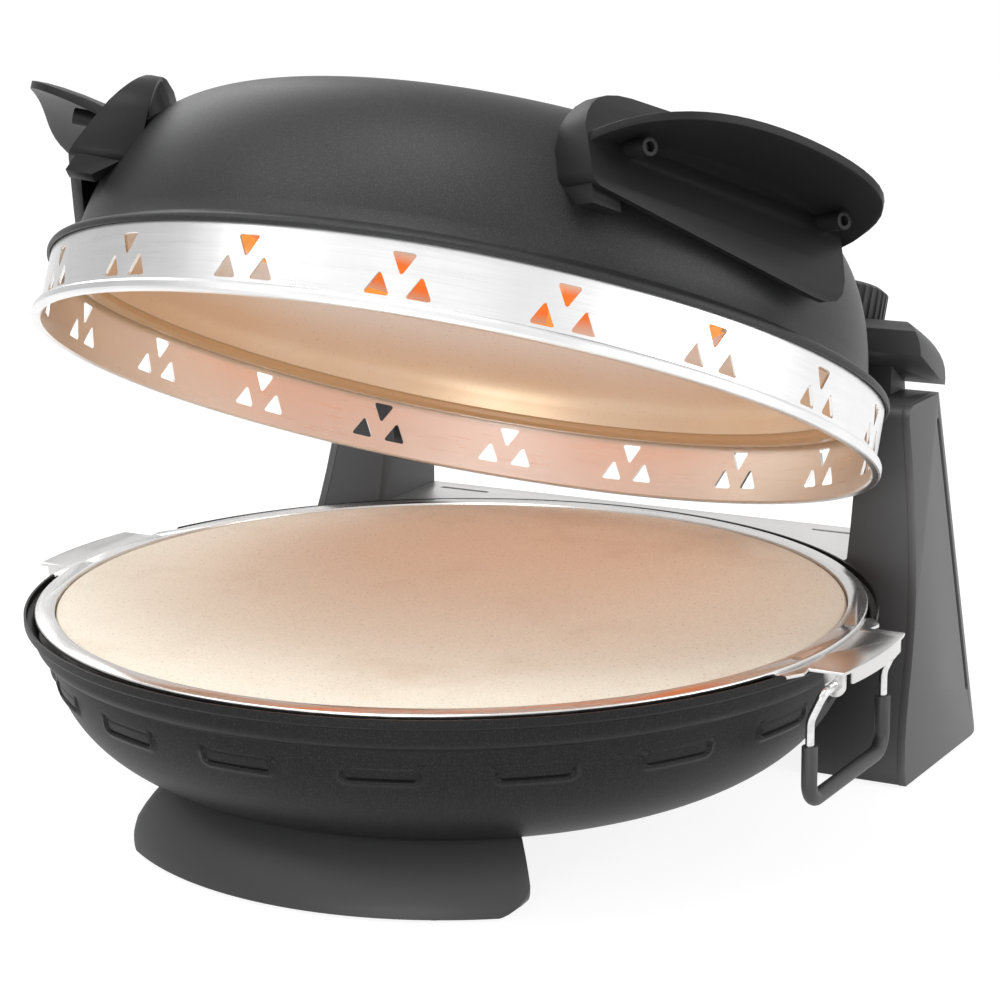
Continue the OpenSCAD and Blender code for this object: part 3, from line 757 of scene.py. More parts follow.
DOME_PAINT = FleckedPaint("dome_paint", (0.018, 0.018, 0.019), place=Place.LID)
BODY_PAINT = FleckedPaint("body_paint", (0.008, 0.008, 0.0085), gloss=0.18, place=Place.BASE)
COVER_PLASTIC = MouldedPlastic("cover_plastic", (0.098, 0.098, 0.101), roughness=0.42)
FOOT_PLASTIC = MouldedPlastic("foot_plastic", (0.046, 0.046, 0.048), roughness=0.48)
TOWER_PLASTIC = MouldedPlastic("tower_plastic", (0.062, 0.062, 0.064), roughness=0.50, gloss=0.35)
HANDLE_PLASTIC = MouldedPlastic("handle_plastic", (0.012, 0.012, 0.012), roughness=0.46, gloss=0.22)
HOOD_PLASTIC = MouldedPlastic("hood_plastic", (0.066, 0.066, 0.067), roughness=0.46, gloss=0.35)
REAR_PLASTIC = MouldedPlastic(
    "rear_plastic", (0.024, 0.024, 0.025), roughness=0.55, gloss=0.3, grain_cells=1300.0
)
KNOB_PLASTIC = MouldedPlastic("knob_plastic", (0.018, 0.018, 0.019), roughness=0.40, gloss=0.3)
# The band's warm colour is a painted reflection of the oven on its inside.
BAND_STEEL = BrushedSteel("band_steel", (0.84, 0.84, 0.84), painted_reflection=(0.93, 0.90, 0.87), reflection_inside=174.6)
TRAY_STEEL = BrushedSteel("tray_steel", (0.72, 0.71, 0.70), Lay.ROUND, Place.BASE, 0.26)
BRACKET_STEEL = BrushedSteel("bracket_steel", (0.68, 0.67, 0.66), Lay.ALONG_Y, Place.BASE, 0.24)
DECK_STEEL = BrushedSteel("deck_steel", (0.76, 0.75, 0.74), Lay.ALONG_X, Place.BASE, 0.34)
LINER_STEEL = PlainSteel("liner_steel", (0.34, 0.33, 0.31), roughness=0.42, cloud_cells=40.0)
WIRE_STEEL = PlainSteel("wire_steel", (0.78, 0.78, 0.78), roughness=0.16)
ZINC = PlainSteel("zinc", (0.58, 0.58, 0.57), roughness=0.32)
BLACK_STEEL = PlainSteel("black_steel", (0.030, 0.030, 0.031), roughness=0.42)
LOWER_SHEATH = HeatedSteel("lower_sheath", (0.12, 0.11, 0.10))
UPPER_SHEATH = HeatedSteel("upper_sheath", (0.20, 0.10, 0.06), glow=(1.0, 0.36, 0.06), strength=1.0)
# The reflector carries painted light round the hot element, at lit_at.
REFLECTOR_ENAMEL = Enamel(
    "reflector_enamel", (0.96, 0.96, 0.95), rim=(0.72, 0.56, 0.37), rim_from=138.0, metal=0.35, lit_at=104.0
)
TRIM_ENAMEL = Enamel("trim_enamel", (0.62, 0.44, 0.26), rim_from=100.0, rim_to=140.0)
STONE = FiredStone("stone", (0.90, 0.88, 0.76))
RUBBER = SoftRubber("pad_rubber", (0.022, 0.022, 0.023))
SLEEVE = SoftRubber("sleeve_vinyl", (0.030, 0.030, 0.031), roughness=0.50)
CERAMIC = GlazedCeramic("ceramic", (0.80, 0.77, 0.70))


class GeometryBook(Book):
    """Writes one geometry tree with named inputs."""

    def __init__(self, name: str) -> None:
        """Makes a tree that takes and gives geometry.

        Args:
            name: The tree's name.
        """
        super().__init__(bpy.data.node_groups.new(name, "GeometryNodeTree"))
        self.tree.interface.new_socket("Geometry", in_out="INPUT", socket_type="NodeSocketGeometry")
        self.tree.interface.new_socket("Geometry", in_out="OUTPUT", socket_type="NodeSocketGeometry")
        self.entry = self.tree.nodes.new("NodeGroupInput")
        self.names: dict[str, str] = {}

    @property
    def geometry(self) -> Sock:
        """The geometry that comes in."""
        return Sock(self, self.entry.outputs["Geometry"])

    def size(self, name: str, kind: str = "Float") -> Sock:
        """Adds a named input to the tree.

        Args:
            name: The input's name.
            kind: The kind of its socket.

        Returns:
            Its value.
        """
        made = self.tree.interface.new_socket(name, in_out="INPUT", socket_type=f"NodeSocket{kind}")
        self.names[name] = made.identifier
        return Sock(self, self.entry.outputs[name])

    def step(
        self, kind: str, settings: dict[str, object], inputs: dict[str | int, Value], out: str | int = 0
    ) -> Sock:
        """Adds one node and gives one of its outputs."""
        return Sock(self, self.node(kind, settings, inputs).outputs[out])

    def place_parts(self) -> tuple[Sock, Sock, Sock]:
        """Gives the three numbers of a mesh point's place."""
        return self.parts(self.step("GeometryNodeInputPosition", {}, {}))

    def smooth_and_end(self, mesh: Sock, angle: float) -> None:
        """Shades faces smoothly but keeps edges above the angle, then ends in Set Material.

        Args:
            mesh: The finished mesh.
            angle: The edge angle in degrees above which an edge stays sharp.
        """
        faces = {"Geometry": mesh, "Shade Smooth": True}
        smooth = self.step("GeometryNodeSetShadeSmooth", {"domain": "FACE"}, faces)
        bend = self.step("GeometryNodeInputMeshEdgeAngle", {}, {}, "Unsigned Angle")
        above = {"data_type": "FLOAT", "operation": "GREATER_THAN"}
        sharp = self.step("FunctionNodeCompare", above, {0: bend, 1: math.radians(angle)})
        edges = {"Geometry": smooth, "Selection": sharp, "Shade Smooth": False}
        edged = self.step("GeometryNodeSetShadeSmooth", {"domain": "EDGE"}, edges)
        real = self.step("GeometryNodeRealizeInstances", {}, {"Geometry": edged})
        finish = {"Geometry": real, "Material": self.size("Material", "Material")}
        self.node("NodeGroupOutput", {}, {0: self.step("GeometryNodeSetMaterial", {}, finish)})


@contextmanager
def opened(mesh: bpy.types.Mesh) -> Iterator[bmesh.types.BMesh]:
    """Opens a mesh for editing and writes it back at the end.

    Args:
        mesh: The mesh.

    Yields:
        The mesh in a form that can be edited.
    """
    shell = bmesh.new()
    shell.from_mesh(mesh)
    yield shell
    shell.to_mesh(mesh)
    shell.free()


def new_object(name: str, mesh: bpy.types.Mesh) -> bpy.types.Object:
    """Links a new object at the origin.

    Args:
        name: The object's name.
        mesh: Its mesh.

    Returns:
        The object.
    """
    made = bpy.data.objects.new(name, mesh)
    bpy.context.scene.collection.objects.link(made)
    return made


def settled(obj: bpy.types.Object, name: str) -> bpy.types.Object:
    """Turns an object with live modifiers into a plain mesh at the origin.

    Args:
        obj: The object, which is removed.
        name: The name of the result.

    Returns:
        The plain object.
    """
    graph = bpy.context.evaluated_depsgraph_get()
    shaped = obj.evaluated_get(graph)
    mesh = bpy.data.meshes.new_from_object(shaped, preserve_all_data_layers=True, depsgraph=graph)
    old = obj.data
    bpy.data.objects.remove(obj)
    if not old.users:
        bpy.data.meshes.remove(old)
    mesh.name = name
    return new_object(name, mesh)


def run_tree(
    mesh: bpy.types.Mesh, book: GeometryBook, name: str, sizes: dict[str, object]
) -> bpy.types.Object:
    """Runs a geometry tree on a mesh and keeps the plain result.

    Args:
        mesh: What the tree takes in.
        book: The tree.
        name: The name of the piece.
        sizes: The named inputs.

    Returns:
        The piece.
    """
    obj = new_object(f"{name}_source", mesh)
    modifier = obj.modifiers.new("shape", "NODES")
    modifier.node_group = book.tree
    for key, value in sizes.items():
        modifier[book.names[key]] = value
    return settled(obj, name)


def outline_mesh(name: str, points: Sequence[Point]) -> bpy.types.Mesh:
    """Makes a mesh of edges through points, in which the last one joins the first.

    Args:
        name: The mesh's name.
        points: The points in order.

    Returns:
        The mesh.
    """
    mesh = bpy.data.meshes.new(name)
    count = len(points)
    mesh.from_pydata(points, [(i, (i + 1) % count) for i in range(count)], [])
    return mesh


def beside(path: Profile, t: float) -> Profile:
    """Moves a path to its right by t, mitred at its corners and kept off the axis.

    Args:
        path: Points of radius and height.
        t: The distance.

    Returns:
        The moved path.
    """
    moved: Profile = []
    for i, (x, y) in enumerate(path):
        before = path[max(i - 1, 0)], path[max(i, 1)]
        after = path[min(i, len(path) - 2)], path[min(i + 1, len(path) - 1)]
        normals = []
        for (ax, ay), (bx, by) in (before, after):
            far = math.hypot(bx - ax, by - ay)
            normals.append(((by - ay) / far, -(bx - ax) / far))
        share = 1 + normals[0][0] * normals[1][0] + normals[0][1] * normals[1][1]
        out, up = (normals[0][k] + normals[1][k] for k in (0, 1))
        moved.append((max(0.0, x + t * out / share), y + t * up / share))
    return moved


def eased(path: Profile, radius: float, steps: int = 4, sharp: float = 18.0) -> Profile:
    """Rounds the corners of a path that turn by more than some degrees.

    Args:
        path: Points of radius and height.
        radius: How far before and after a corner the rounding reaches, at most.
        steps: Points added at each corner.
        sharp: The turn in degrees below which a point is kept.

    Returns:
        The rounded path.
    """
    made: Profile = [path[0]]
    for i in range(1, len(path) - 1):
        a, b, c = Vector(path[i - 1]), Vector(path[i]), Vector(path[i + 1])
        if math.degrees((b - a).angle(c - b, 0.0)) < sharp:
            made.append(path[i])
            continue
        reach = min(radius, 0.45 * (b - a).length, 0.45 * (c - b).length)
        start, end = b + (a - b).normalized() * reach, b + (c - b).normalized() * reach
        for k in range(steps + 1):
            t = k / steps
            p = (1 - t) ** 2 * start + 2 * t * (1 - t) * b + t * t * end
            made.append((p.x, p.y))
    made.append(path[-1])
    return made


@dataclass
class Turning:
    """Turns a profile round an axis with a geometry tree."""

    segments: int = 256
    path_radius_m: float = 0.1
    weld_m: float = 0.00001
    tiny_m: float = 1e-7

    def tree(
        self, name: str, press: Callable[[GeometryBook, Sock], Sock] | None = None, sharp: float = 40.0
    ) -> GeometryBook:
        """Builds the tree.

        Args:
            name: The tree's name.
            press: Adds steps that press a pattern into the turned mesh.
            sharp: The edge angle above which an edge stays sharp.

        Returns:
            The tree.
        """
        book = GeometryBook(name)
        segments, radius = book.size("Segments", "Int"), book.size("Path radius")
        ring = book.step("GeometryNodeCurvePrimitiveCircle", {}, {"Resolution": segments, "Radius": radius})
        profile = book.step("GeometryNodeMeshToCurve", {}, {0: book.geometry})
        back = book.vector(radius * -1.0, 0.0, 0.0)
        moved = book.step("GeometryNodeTransform", {}, {"Geometry": profile, "Translation": back})
        turned = book.step("GeometryNodeCurveToMesh", {}, {"Curve": ring, "Profile Curve": moved})
        weld = {"Geometry": turned, "Distance": self.weld_m}
        closed = book.step("GeometryNodeMergeByDistance", {}, weld)
        if press:
            closed = press(book, closed)
        book.smooth_and_end(closed, sharp)
        return book

    def make(
        self,
        name: str,
        profile: Profile,
        finish: Finish,
        place: Place,
        book: GeometryBook | None = None,
        extra: dict[str, object] | None = None,
    ) -> bpy.types.Object:
        """Turns a closed profile into a piece.

        Args:
            name: The piece's name.
            profile: Points of radius and height in mm, in order round the section.
            finish: Its finish.
            place: The frame it stands in.
            book: A tree with a pressed pattern, or None for a plain one.
            extra: Named inputs of that tree.

        Returns:
            The piece.
        """
        book = book or self.tree(f"{name}_turning")
        mesh = outline_mesh(f"{name}_profile", [(r * MM, -z * MM, 0.0) for r, z in profile])
        sizes = {"Segments": self.segments, "Path radius": self.path_radius_m, "Material": PAINT.of(finish)}
        piece = run_tree(mesh, book, name, {**sizes, **(extra or {})})
        with opened(piece.data) as shell:
            bmesh.ops.dissolve_degenerate(shell, edges=shell.edges, dist=self.tiny_m)
            bmesh.ops.recalc_face_normals(shell, faces=shell.faces)
            if shell.calc_volume(signed=True) < 0:
                bmesh.ops.reverse_faces(shell, faces=shell.faces)
        piece.data.transform(LAYOUT.matrix(place))
        return piece


def downward(start: float, stop: float, step: float) -> list[float]:
    """Gives numbers from start down to stop."""
    return [start - i * step for i in range(int((start - stop) / step) + 1)]


@dataclass(frozen=True)
class Vent:
    """Sizes of one pressed vent. Ridge and groove are placed from its outline, the rest from its middle."""

    height: float = 67.0
    half_w: float = 14.4
    half_h: float = 2.6
    corner: float = 2.2
    ridge: float = 1.0
    ridge_at: float = 1.3
    ridge_w: float = 1.1
    groove: float = 0.9
    groove_at: float = -0.1
    groove_w: float = 0.38
    top_share: float = 0.2
    side_share: float = 0.7
    open_from: float = 1.2
    open_to: float = 3.4
    notch_out: float = 0.9
    notch_w: float = 1.3
    notch_up: float = 3.3
    notch_h: float = 0.7


@dataclass
class Body:
    """The pressed body of the base with its rim: bowl, embossed vents, shoulder and lip."""

    lip_r: float = 178.0
    lip_top: float = 91.8
    shelf_z: float = 87.7
    shoulder_r: float = 174.0
    body_r: float = 167.3
    body_top_z: float = 77.0
    belly_z: float = 17.0
    sheet: float = 1.0
    vent_count: int = 18
    vent: Vent = Vent()
    fine_to: float = 58.0
    fine_step: float = 0.6
    coarse_from: float = 20.0
    coarse_step: float = 2.5
    coarse_to: float = 88.0
    segments: int = 1080
    sharp: float = 50.0
    press_inside: float = 150.0
    press_low: tuple[float, float] = (56.0, 58.0)
    press_high: tuple[float, float] = (77.5, 76.0)
    bracket_gap_half: float = 46.5
    bracket_gap_z: float = 89.6
    bracket_gap_inside: float = 170.0
    bracket_gap_edge_m: float = 0.0015

    def belly(self, angle: float) -> tuple[float, float]:
        """Gives the bowl's outside at an angle below its top, in degrees."""
        depth, turn = self.body_top_z - self.belly_z, math.radians(angle)
        return self.body_r * math.sqrt(math.cos(turn)), self.body_top_z - depth * math.sin(turn)

    def curve(self) -> Profile:
        """Gives the outside from the lip down to the middle of the underside.

        Returns:
            Points of radius and height, close together where the vents are.
        """
        shoulder = [
            (self.lip_r, self.lip_top), (self.lip_r, self.shelf_z + 0.9), (self.lip_r - 0.9, self.shelf_z),
            (self.shoulder_r, self.shelf_z), (self.shoulder_r, self.body_top_z + 4.5),
            (self.shoulder_r - 2, self.body_top_z + 1.6), (self.body_r + 1.2, self.body_top_z + 0.5),
        ]  # fmt: skip
        depth = self.body_top_z - self.belly_z
        heights = downward(self.body_top_z - 0.5, self.fine_to, self.fine_step)
        fine = [math.degrees(math.asin((self.body_top_z - z) / depth)) for z in heights]
        count = int((self.coarse_to - self.coarse_from) / self.coarse_step)
        coarse = [self.coarse_from + self.coarse_step * i for i in range(count)]
        body = [self.belly(a) for a in sorted({*fine, *coarse})]
        return [*eased(shoulder + body[:1], 1.6), *body[1:], (0.0, self.belly_z)]

    def press(self, book: GeometryBook, mesh: Sock) -> Sock:
        """Presses the vents in and opens the lip over the brackets.

        Args:
            book: The tree.
            mesh: The turned body.

        Returns:
            The pressed body.
        """
        count, vent_z = book.size("Vents"), book.size("Vent height")
        names = "half width", "half height", "corner"
        half_w, half_h, corner = (book.size(f"Vent {name}") for name in names)
        ridge, groove = book.size("Ridge"), book.size("Groove")
        gap_half, gap_z = book.size("Bracket gap half width"), book.size("Bracket gap height")
        vent = self.vent
        x, y, z = book.place_parts()
        far = diagonal(x, y)
        turn = book.maths("ARCTAN2", x, y * -1.0)
        pitch = book.maths("DIVIDE", 2 * math.pi, count)
        wrap = {0: turn, 1: pitch * 0.5, 2: pitch * -0.5}
        share = book.node("ShaderNodeMath", {"operation": "WRAP"}, wrap)
        along = (Sock(book, share.outputs[0]) * far).size()
        up = z - vent_z
        over_x, over_z = along - half_w + corner, up.size() - half_h + corner
        outside = diagonal(over_x.most(0.0), over_z.most(0.0))
        away = (outside + over_x.most(over_z).least(0.0) - corner) * TO_MM
        low = (up * TO_MM).rise(vent.open_to, vent.open_from)
        notch_end = ((along - half_w) * TO_MM).bump(vent.notch_out, vent.notch_w)
        notch = notch_end * (up * TO_MM).bump(vent.notch_up, vent.notch_h)
        line = away.bump(vent.groove_at, vent.groove_w)
        sunk = line * (low * vent.side_share + vent.top_share) + notch
        lift = ridge * away.bump(vent.ridge_at, vent.ridge_w) * low - groove * sunk
        wall = (far * TO_MM).rise(self.press_inside, self.press_inside + 1.0)
        outer = wall * (z * TO_MM).rise(*self.press_low) * (z * TO_MM).rise(*self.press_high)
        push = lift * outer / far
        lip = (far * TO_MM).rise(self.bracket_gap_inside, self.bracket_gap_inside + 1.0)
        cut = (y.size() - gap_half).rise(self.bracket_gap_edge_m, 0.0) * lip
        place = book.vector(x + x * push, y + y * push, z.least(z + (gap_z - z) * cut))
        return book.step("GeometryNodeSetPosition", {}, {"Geometry": mesh, "Position": place})

    def make(self) -> bpy.types.Object:
        """Makes the body in place of the solids of bowl and rim.

        Returns:
            The piece.
        """
        outer = self.curve()
        inner = [p for i, p in enumerate(beside(outer, self.sheet)) if i % 2 == 0 or p[0] < 1]
        turning = Turning(segments=self.segments)
        book = turning.tree("body_turning", self.press, sharp=self.sharp)
        lengths = {
            "Vent height": self.vent.height, "Vent half width": self.vent.half_w,
            "Vent half height": self.vent.half_h, "Vent corner": self.vent.corner,
            "Ridge": self.vent.ridge, "Groove": self.vent.groove,
            "Bracket gap half width": self.bracket_gap_half, "Bracket gap height": self.bracket_gap_z,
        }  # fmt: skip
        sizes = {"Vents": float(self.vent_count), **{name: size * MM for name, size in lengths.items()}}
        piece = turning.make("body_shell", outer + inner[::-1], BODY_PAINT, Place.BASE, book, sizes)
        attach(piece, "base")
        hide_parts("base_bowl", "base_rim")
        return piece


@dataclass
class Dome:
    """The painted shell of the lid."""

    dome_r: float = 167.1
    crown_z: float = 25.0
    height: float = 105.2
    lip_r: float = 177.0
    band_h: float = 26.8
    sheet: float = 1.2
    side_power: float = 0.25
    crown_power: float = 1.111
    crown_steps: int = 17
    crown_first: float = 0.02
    crown_growth: float = 1.35
    side_from: float = 86.0
    side_to: float = 12.0
    segments: int = 288

    def point(self, angle: float) -> tuple[float, float]:
        """Gives the outside at an angle from the foot.

        Args:
            angle: The angle in degrees.

        Returns:
            Radius and height.
        """
        c, s = math.cos(math.radians(angle)), math.sin(math.radians(angle))
        rise = (self.height - self.crown_z) * s**self.crown_power
        return self.dome_r * c**self.side_power, self.crown_z + rise

    def make(self) -> bpy.types.Object:
        """Makes the dome in place of its solid.

        Returns:
            The piece.
        """
        foot = [
            (self.dome_r + 0.6, 33.8), (self.dome_r + 1.6, 32.9), (self.dome_r + 3.4, 32.9),
            (self.lip_r - 2.4, 31.6), (self.lip_r - 0.5, 30.2), (self.lip_r, 28.6),
            (self.lip_r - 0.3, self.band_h + 0.4),
        ]  # fmt: skip
        steps = [self.crown_first * self.crown_growth**i for i in range(1, self.crown_steps + 1)]
        crown = [(0.0, self.height)] + [self.point(90 - step) for step in steps]
        side = [self.point(a) for a in downward(self.side_from, self.side_to, 1.0)]
        crown = [p for p in crown if p[0] < side[0][0] - 0.5]
        outer = crown + side[:-1] + eased([side[-1], *foot], 1.4, 4, 12.0)
        inner = beside(outer, self.sheet)[::3]
        inner[0] = (0.0, self.height - self.sheet)
        turning = Turning(segments=self.segments)
        piece = turning.make("dome_shell", outer + inner[::-1], DOME_PAINT, Place.LID)
        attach(piece, "lid")
        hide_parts("lid_dome")
        return piece


def shade_by_angle(mesh: bpy.types.Mesh, angle: float) -> None:
    """Shades a mesh smoothly but keeps its bent edges sharp.

    Args:
        mesh: The mesh.
        angle: The edge angle in degrees above which an edge stays sharp.
    """
    with opened(mesh) as shell:
        for face in shell.faces:
            face.smooth = True
        for edge in shell.edges:
            edge.smooth = len(edge.link_faces) != 2 or edge.calc_face_angle(0.0) < math.radians(angle)


@dataclass
class Softener:
    """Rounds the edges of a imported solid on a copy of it."""

    width: float = 0.6
    segments: int = 2
    angle: float = 28.0
    weld_m: float = 2e-6
    flat_below: float = 0.4
    smooth_below: float = 30.0

    def make(self, frame: dict, node: str, body: str, finish: Finish, slot: str) -> bpy.types.Object:
        """Copies a solid, rounds its edges and puts the copy in its place.

        Args:
            node: The solid's name.
            body: The body it rides on.
            finish: Its finish.
            slot: The record's material slot. Not used.

        Returns:
            The piece.
        """
        mesh = frame["nodes"][node].data.copy()
        mesh.materials.clear()
        with opened(mesh) as shell:
            bmesh.ops.remove_doubles(shell, verts=shell.verts, dist=self.weld_m)
            limit = math.radians(self.flat_below)
            bmesh.ops.dissolve_limit(shell, angle_limit=limit, verts=shell.verts, edges=shell.edges)
        for layer in list(mesh.attributes):
            if layer.name in ("custom_normal", "sharp_face", "sharp_edge"):
                mesh.attributes.remove(layer)
        obj = new_object(f"{node}_source", mesh)
        bevel = obj.modifiers.new("edges", "BEVEL")
        bevel.width = self.width * MM
        bevel.segments = self.segments
        bevel.limit_method = "ANGLE"
        bevel.angle_limit = math.radians(self.angle)
        bevel.use_clamp_overlap = True
        bevel.harden_normals = False
        piece = settled(obj, f"{node}_eased")
        piece.data.materials.clear()
        PAINT.dress(piece, finish)
        shade_by_angle(piece.data, self.smooth_below)
        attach(piece, body)
        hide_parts(node)
        return piece


@dataclass(frozen=True)
class Lamp:
    """A round soft lamp and its power in watts."""

    name: str
    place_m: Point
    width_m: float
    power: float


@dataclass
class Studio:
    """A pale floor, soft lamps and the photograph's camera."""

    camera_m: Point = (0.6085, -1.0879, 0.4217)
    azimuth: float = 28.52
    elevation: float = 13.17
    roll: float = -0.48
    focal_px: float = 3046.46
    picture_px: float = 1000.0
    sensor_mm: float = 36.0
    clip_m: tuple[float, float] = (0.01, 60.0)
    floor_half_m: float = 14.0
    floor_tone: float = 0.86
    floor_shown: float = 0.30
    floor_glow: float = 0.87
    room_light: float = 0.45
    left_fall: float = 0.38
    left_span: tuple[float, float] = (-1.05, -0.1)
    aim_m: Point = (0.0, 0.0, 0.1)
    lamps: tuple[Lamp, ...] = (
        Lamp("key", (-0.9, -1.0, 1.7), 1.1, 9.0),
        Lamp("crown", (0.0, -0.55, 2.0), 0.9, 12.0),
        Lamp("side", (1.7, 0.2, 0.7), 1.2, 10.5),
        Lamp("sheen", (-1.35, 0.85, 1.25), 1.2, 9.0),
        Lamp("low", (0.35, -1.6, 0.22), 0.9, 9.0),
    )

    def camera(self) -> None:
        """Makes the camera at the photograph's place and angle."""
        a, e, roll = (math.radians(v) for v in (self.azimuth, self.elevation, self.roll))
        back = Vector((math.sin(a) * math.cos(e), -math.cos(a) * math.cos(e), math.sin(e)))
        right = (-back).cross(Vector((0, 0, 1))).normalized()
        up = right.cross(-back)
        across = math.cos(roll) * right + math.sin(roll) * up
        upright = -math.sin(roll) * right + math.cos(roll) * up
        lens = bpy.data.cameras.new("camera")
        lens.sensor_width = self.sensor_mm
        lens.lens = self.focal_px / self.picture_px * self.sensor_mm
        lens.clip_start, lens.clip_end = self.clip_m
        made = bpy.data.objects.new("camera", lens)
        turn = Matrix((across, upright, back)).transposed().to_4x4()
        made.matrix_world = Matrix.Translation(self.camera_m) @ turn
        bpy.context.scene.collection.objects.link(made)
        bpy.context.scene.camera = made

    def light(self) -> None:
        """Hangs the soft lamps, each aimed at the object."""
        for lamp in self.lamps:
            data = bpy.data.lights.new(lamp.name, "AREA")
            data.shape, data.size, data.energy = "DISK", lamp.width_m, lamp.power
            hung = bpy.data.objects.new(lamp.name, data)
            turn = (Vector(self.aim_m) - Vector(lamp.place_m)).to_track_quat("-Z", "Y")
            hung.matrix_world = Matrix.Translation(lamp.place_m) @ turn.to_matrix().to_4x4()
            bpy.context.scene.collection.objects.link(hung)

    def seen(self, book: Book) -> Sock:
        """Marks the rays that show the surroundings to the camera, in metal or through glass.

        Args:
            book: The tree of the world or of a material.

        Returns:
            1 for such a ray, else 0.
        """
        path = book.node("ShaderNodeLightPath", {}, {})
        rays = [Sock(book, path.outputs[f"Is {kind} Ray"]) for kind in ("Camera", "Glossy", "Transmission")]
        return rays[0].most(rays[1]).most(rays[2])

    def room(self) -> None:
        """Sets a white room that lights the object softly. Metal shows its left side a little darker."""
        world = bpy.data.worlds.new("room")
        world.use_nodes = True
        bpy.context.scene.world = world
        book = Book(world.node_tree)
        book.tree.nodes.clear()
        path = book.node("ShaderNodeLightPath", {}, {})
        way = Sock(book, book.node("ShaderNodeTexCoord", {}, {}).outputs["Generated"])
        to_right, _, _ = book.parts(way)
        glossy = Sock(book, path.outputs["Is Glossy Ray"])
        fall = (1.0 - to_right.rise(*self.left_span)) * self.left_fall * glossy
        dim = book.node("ShaderNodeBackground", {}, {"Color": grey(1.0), "Strength": self.room_light})
        white = book.node("ShaderNodeBackground", {}, {"Color": grey(1.0), "Strength": 1.0 - fall})
        shaders = {0: self.seen(book), 1: dim.outputs[0], 2: white.outputs[0]}
        mixed = book.node("ShaderNodeMixShader", {}, shaders)
        book.node("ShaderNodeOutputWorld", {}, {"Surface": mixed.outputs[0]})

    def floor(self) -> None:
        """Lays the pale floor, which keeps the object's shadow."""
        half = self.floor_half_m
        corners = [(-half, -half, 0), (half, -half, 0), (half, half, 0), (-half, half, 0)]
        mesh = bpy.data.meshes.new("floor")
        mesh.from_pydata(corners, [], [(0, 1, 2, 3)])
        floor = new_object("floor", mesh)
        book = ShaderBook("floor_paint")
        lit = book.node("ShaderNodeBsdfDiffuse", {}, {"Color": grey(self.floor_tone)})
        shown = book.node("ShaderNodeBsdfDiffuse", {}, {"Color": grey(self.floor_shown)})
        glow = book.node("ShaderNodeEmission", {}, {"Color": grey(1.0), "Strength": self.floor_glow})
        white = book.node("ShaderNodeAddShader", {}, {0: shown.outputs[0], 1: glow.outputs[0]})
        shaders = {0: self.seen(book), 1: lit.outputs[0], 2: white.outputs[0]}
        mixed = book.node("ShaderNodeMixShader", {}, shaders)
        book.node("ShaderNodeOutputMaterial", {}, {"Surface": mixed.outputs[0]})
        mesh.materials.append(book.material)

    def make(self) -> None:
        """Builds the studio."""
        scene = bpy.context.scene
        scene.view_settings.view_transform = "Standard"
        self.camera()
        self.light()
        self.room()
        self.floor()


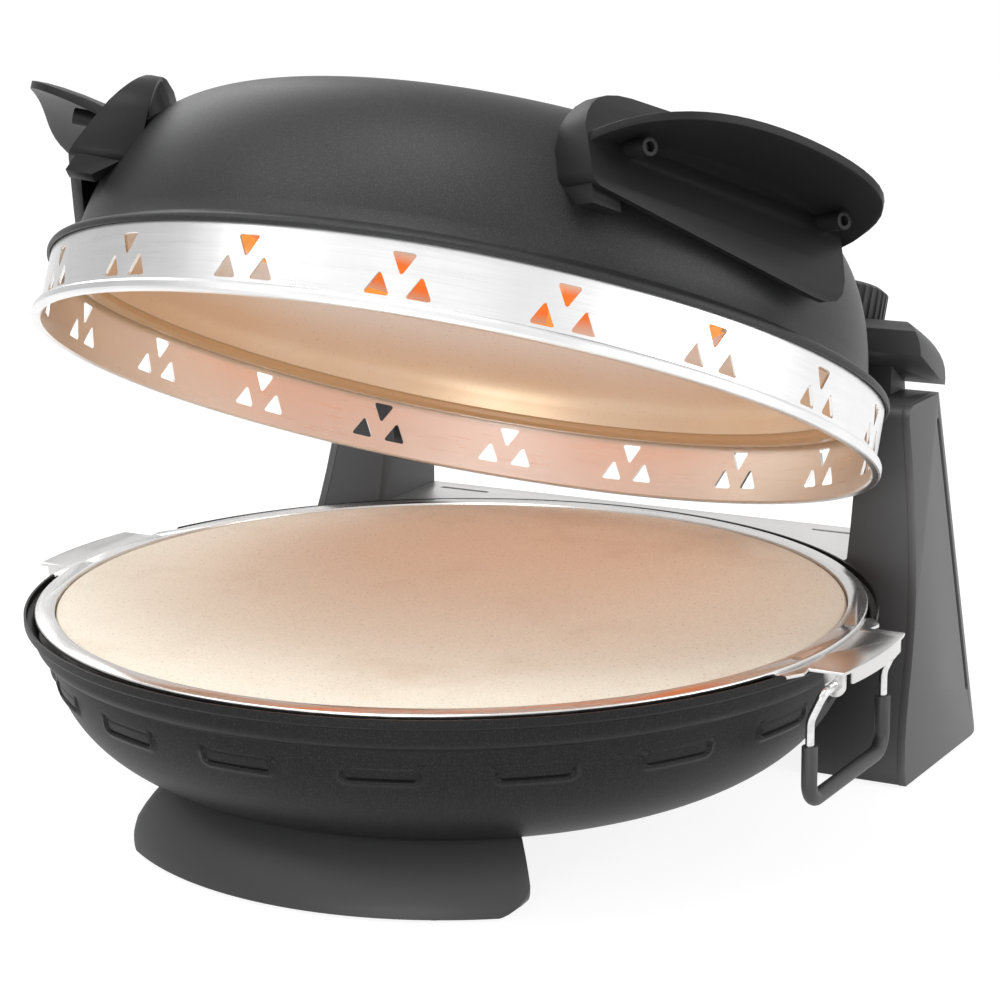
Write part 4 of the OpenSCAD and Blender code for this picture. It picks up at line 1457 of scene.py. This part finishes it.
NODES_BY_FINISH: tuple[tuple[Finish, str], ...] = (
    (LINER_STEEL, "base_liner"),
    (LOWER_SHEATH, "lower_heater"),
    (ZINC, "lower_heater_clips housing_screws hinge_pins hinge_washers"),
    (ZINC, "upper_heater_clips knob_shaft bracket_rivets"),
    (RUBBER, "foot_pads cord_inlet"),
    (DECK_STEEL, "rear_deck"),
    (CERAMIC, "terminal_block thermostat"),
    (BAND_STEEL, "lid_band"),
    (REFLECTOR_ENAMEL, "lid_reflector"),
    (TRIM_ENAMEL, "lid_trim_ring"),
    (UPPER_SHEATH, "upper_heater"),
    (BLACK_STEEL, "handle_screws"),
    (TRAY_STEEL, "tray_ring"),
    (BRACKET_STEEL, "tray_bracket_right tray_bracket_left"),
    (STONE, "pizza_stone"),
    (WIRE_STEEL, "bail_right bail_left"),
    (SLEEVE, "grip_right grip_left"),
    (BODY_PAINT, "base_bowl base_rim"),
    (DOME_PAINT, "lid_dome"),
    (FOOT_PLASTIC, "front_foot"),
    (TOWER_PLASTIC, "tower_right tower_left"),
    (COVER_PLASTIC, "tower_cover_right tower_cover_left"),
    (REAR_PLASTIC, "rear_housing rear_housing_cover"),
    (HOOD_PLASTIC, "lid_bridge hinge_arm_right hinge_arm_left"),
    (HANDLE_PLASTIC, "lid_handle_right lid_handle_left"),
    (KNOB_PLASTIC, "control_knob"),
)
SOLID_FINISHES: dict[str, Finish] = {
    node: finish for finish, nodes in NODES_BY_FINISH for node in nodes.split()
}

EASED: tuple[tuple[str, float, str], ...] = (
    ("black_plastic", 0.8, "tower_right tower_left"),
    ("charcoal_paint", 0.8, "tower_cover_right tower_cover_left"),
    ("black_plastic", 0.7, "front_foot"),
    ("black_plastic", 0.8, "rear_housing"),
    ("black_plastic", 0.4, "rear_housing_cover"),
    ("black_plastic", 0.7, "hinge_arm_right hinge_arm_left"),
    ("black_plastic", 0.8, "lid_bridge"),
    ("brushed_steel", 0.25, "tray_bracket_right tray_bracket_left"),
    ("black_plastic", 0.35, "control_knob"),
    ("brushed_steel", 0.25, "rear_deck"),
    ("black_plastic", 0.35, "lid_handle_right lid_handle_left"),
    ("brushed_steel", 0.2, "tray_ring"),
    ("cream_enamel", 0.2, "lid_reflector"),
    ("gold_enamel", 0.15, "lid_trim_ring"),
    ("stone", 0.8, "pizza_stone"),
    ("bright_wire", 0.1, "bail_right bail_left"),
    ("rubber", 0.5, "grip_right grip_left"),
)


def dress_solids(frame: dict) -> None:
    """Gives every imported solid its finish.
    """
    for name, obj in frame["nodes"].items():
        PAINT.dress(obj, SOLID_FINISHES[name])
    log.info("dressed %d solids", len(frame["nodes"]))


def body_of_node(frame: dict, node: str) -> str:
    """Gives the body that a solid rides on."""
    return next(b for b, members in frame["record"]["behaviour"]["bodies"].items() if node in members)


def main() -> None:
    """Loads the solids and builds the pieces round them."""
    logging.basicConfig(level=logging.INFO, format="%(message)s")
    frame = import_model()
    Studio().make()
    dress_solids(frame)
    for piece in (Body().make(), Dome().make()):
        log.info("%s: %d faces", piece.name, len(piece.data.polygons))
    for slot, width, nodes in EASED:
        for node in nodes.split():
            body = body_of_node(frame, node)
            piece = Softener(width=width).make(frame, node, body, SOLID_FINISHES[node], slot)
            log.info("%s: %d faces", piece.name, len(piece.data.polygons))


if __name__ == "__main__":
    main()
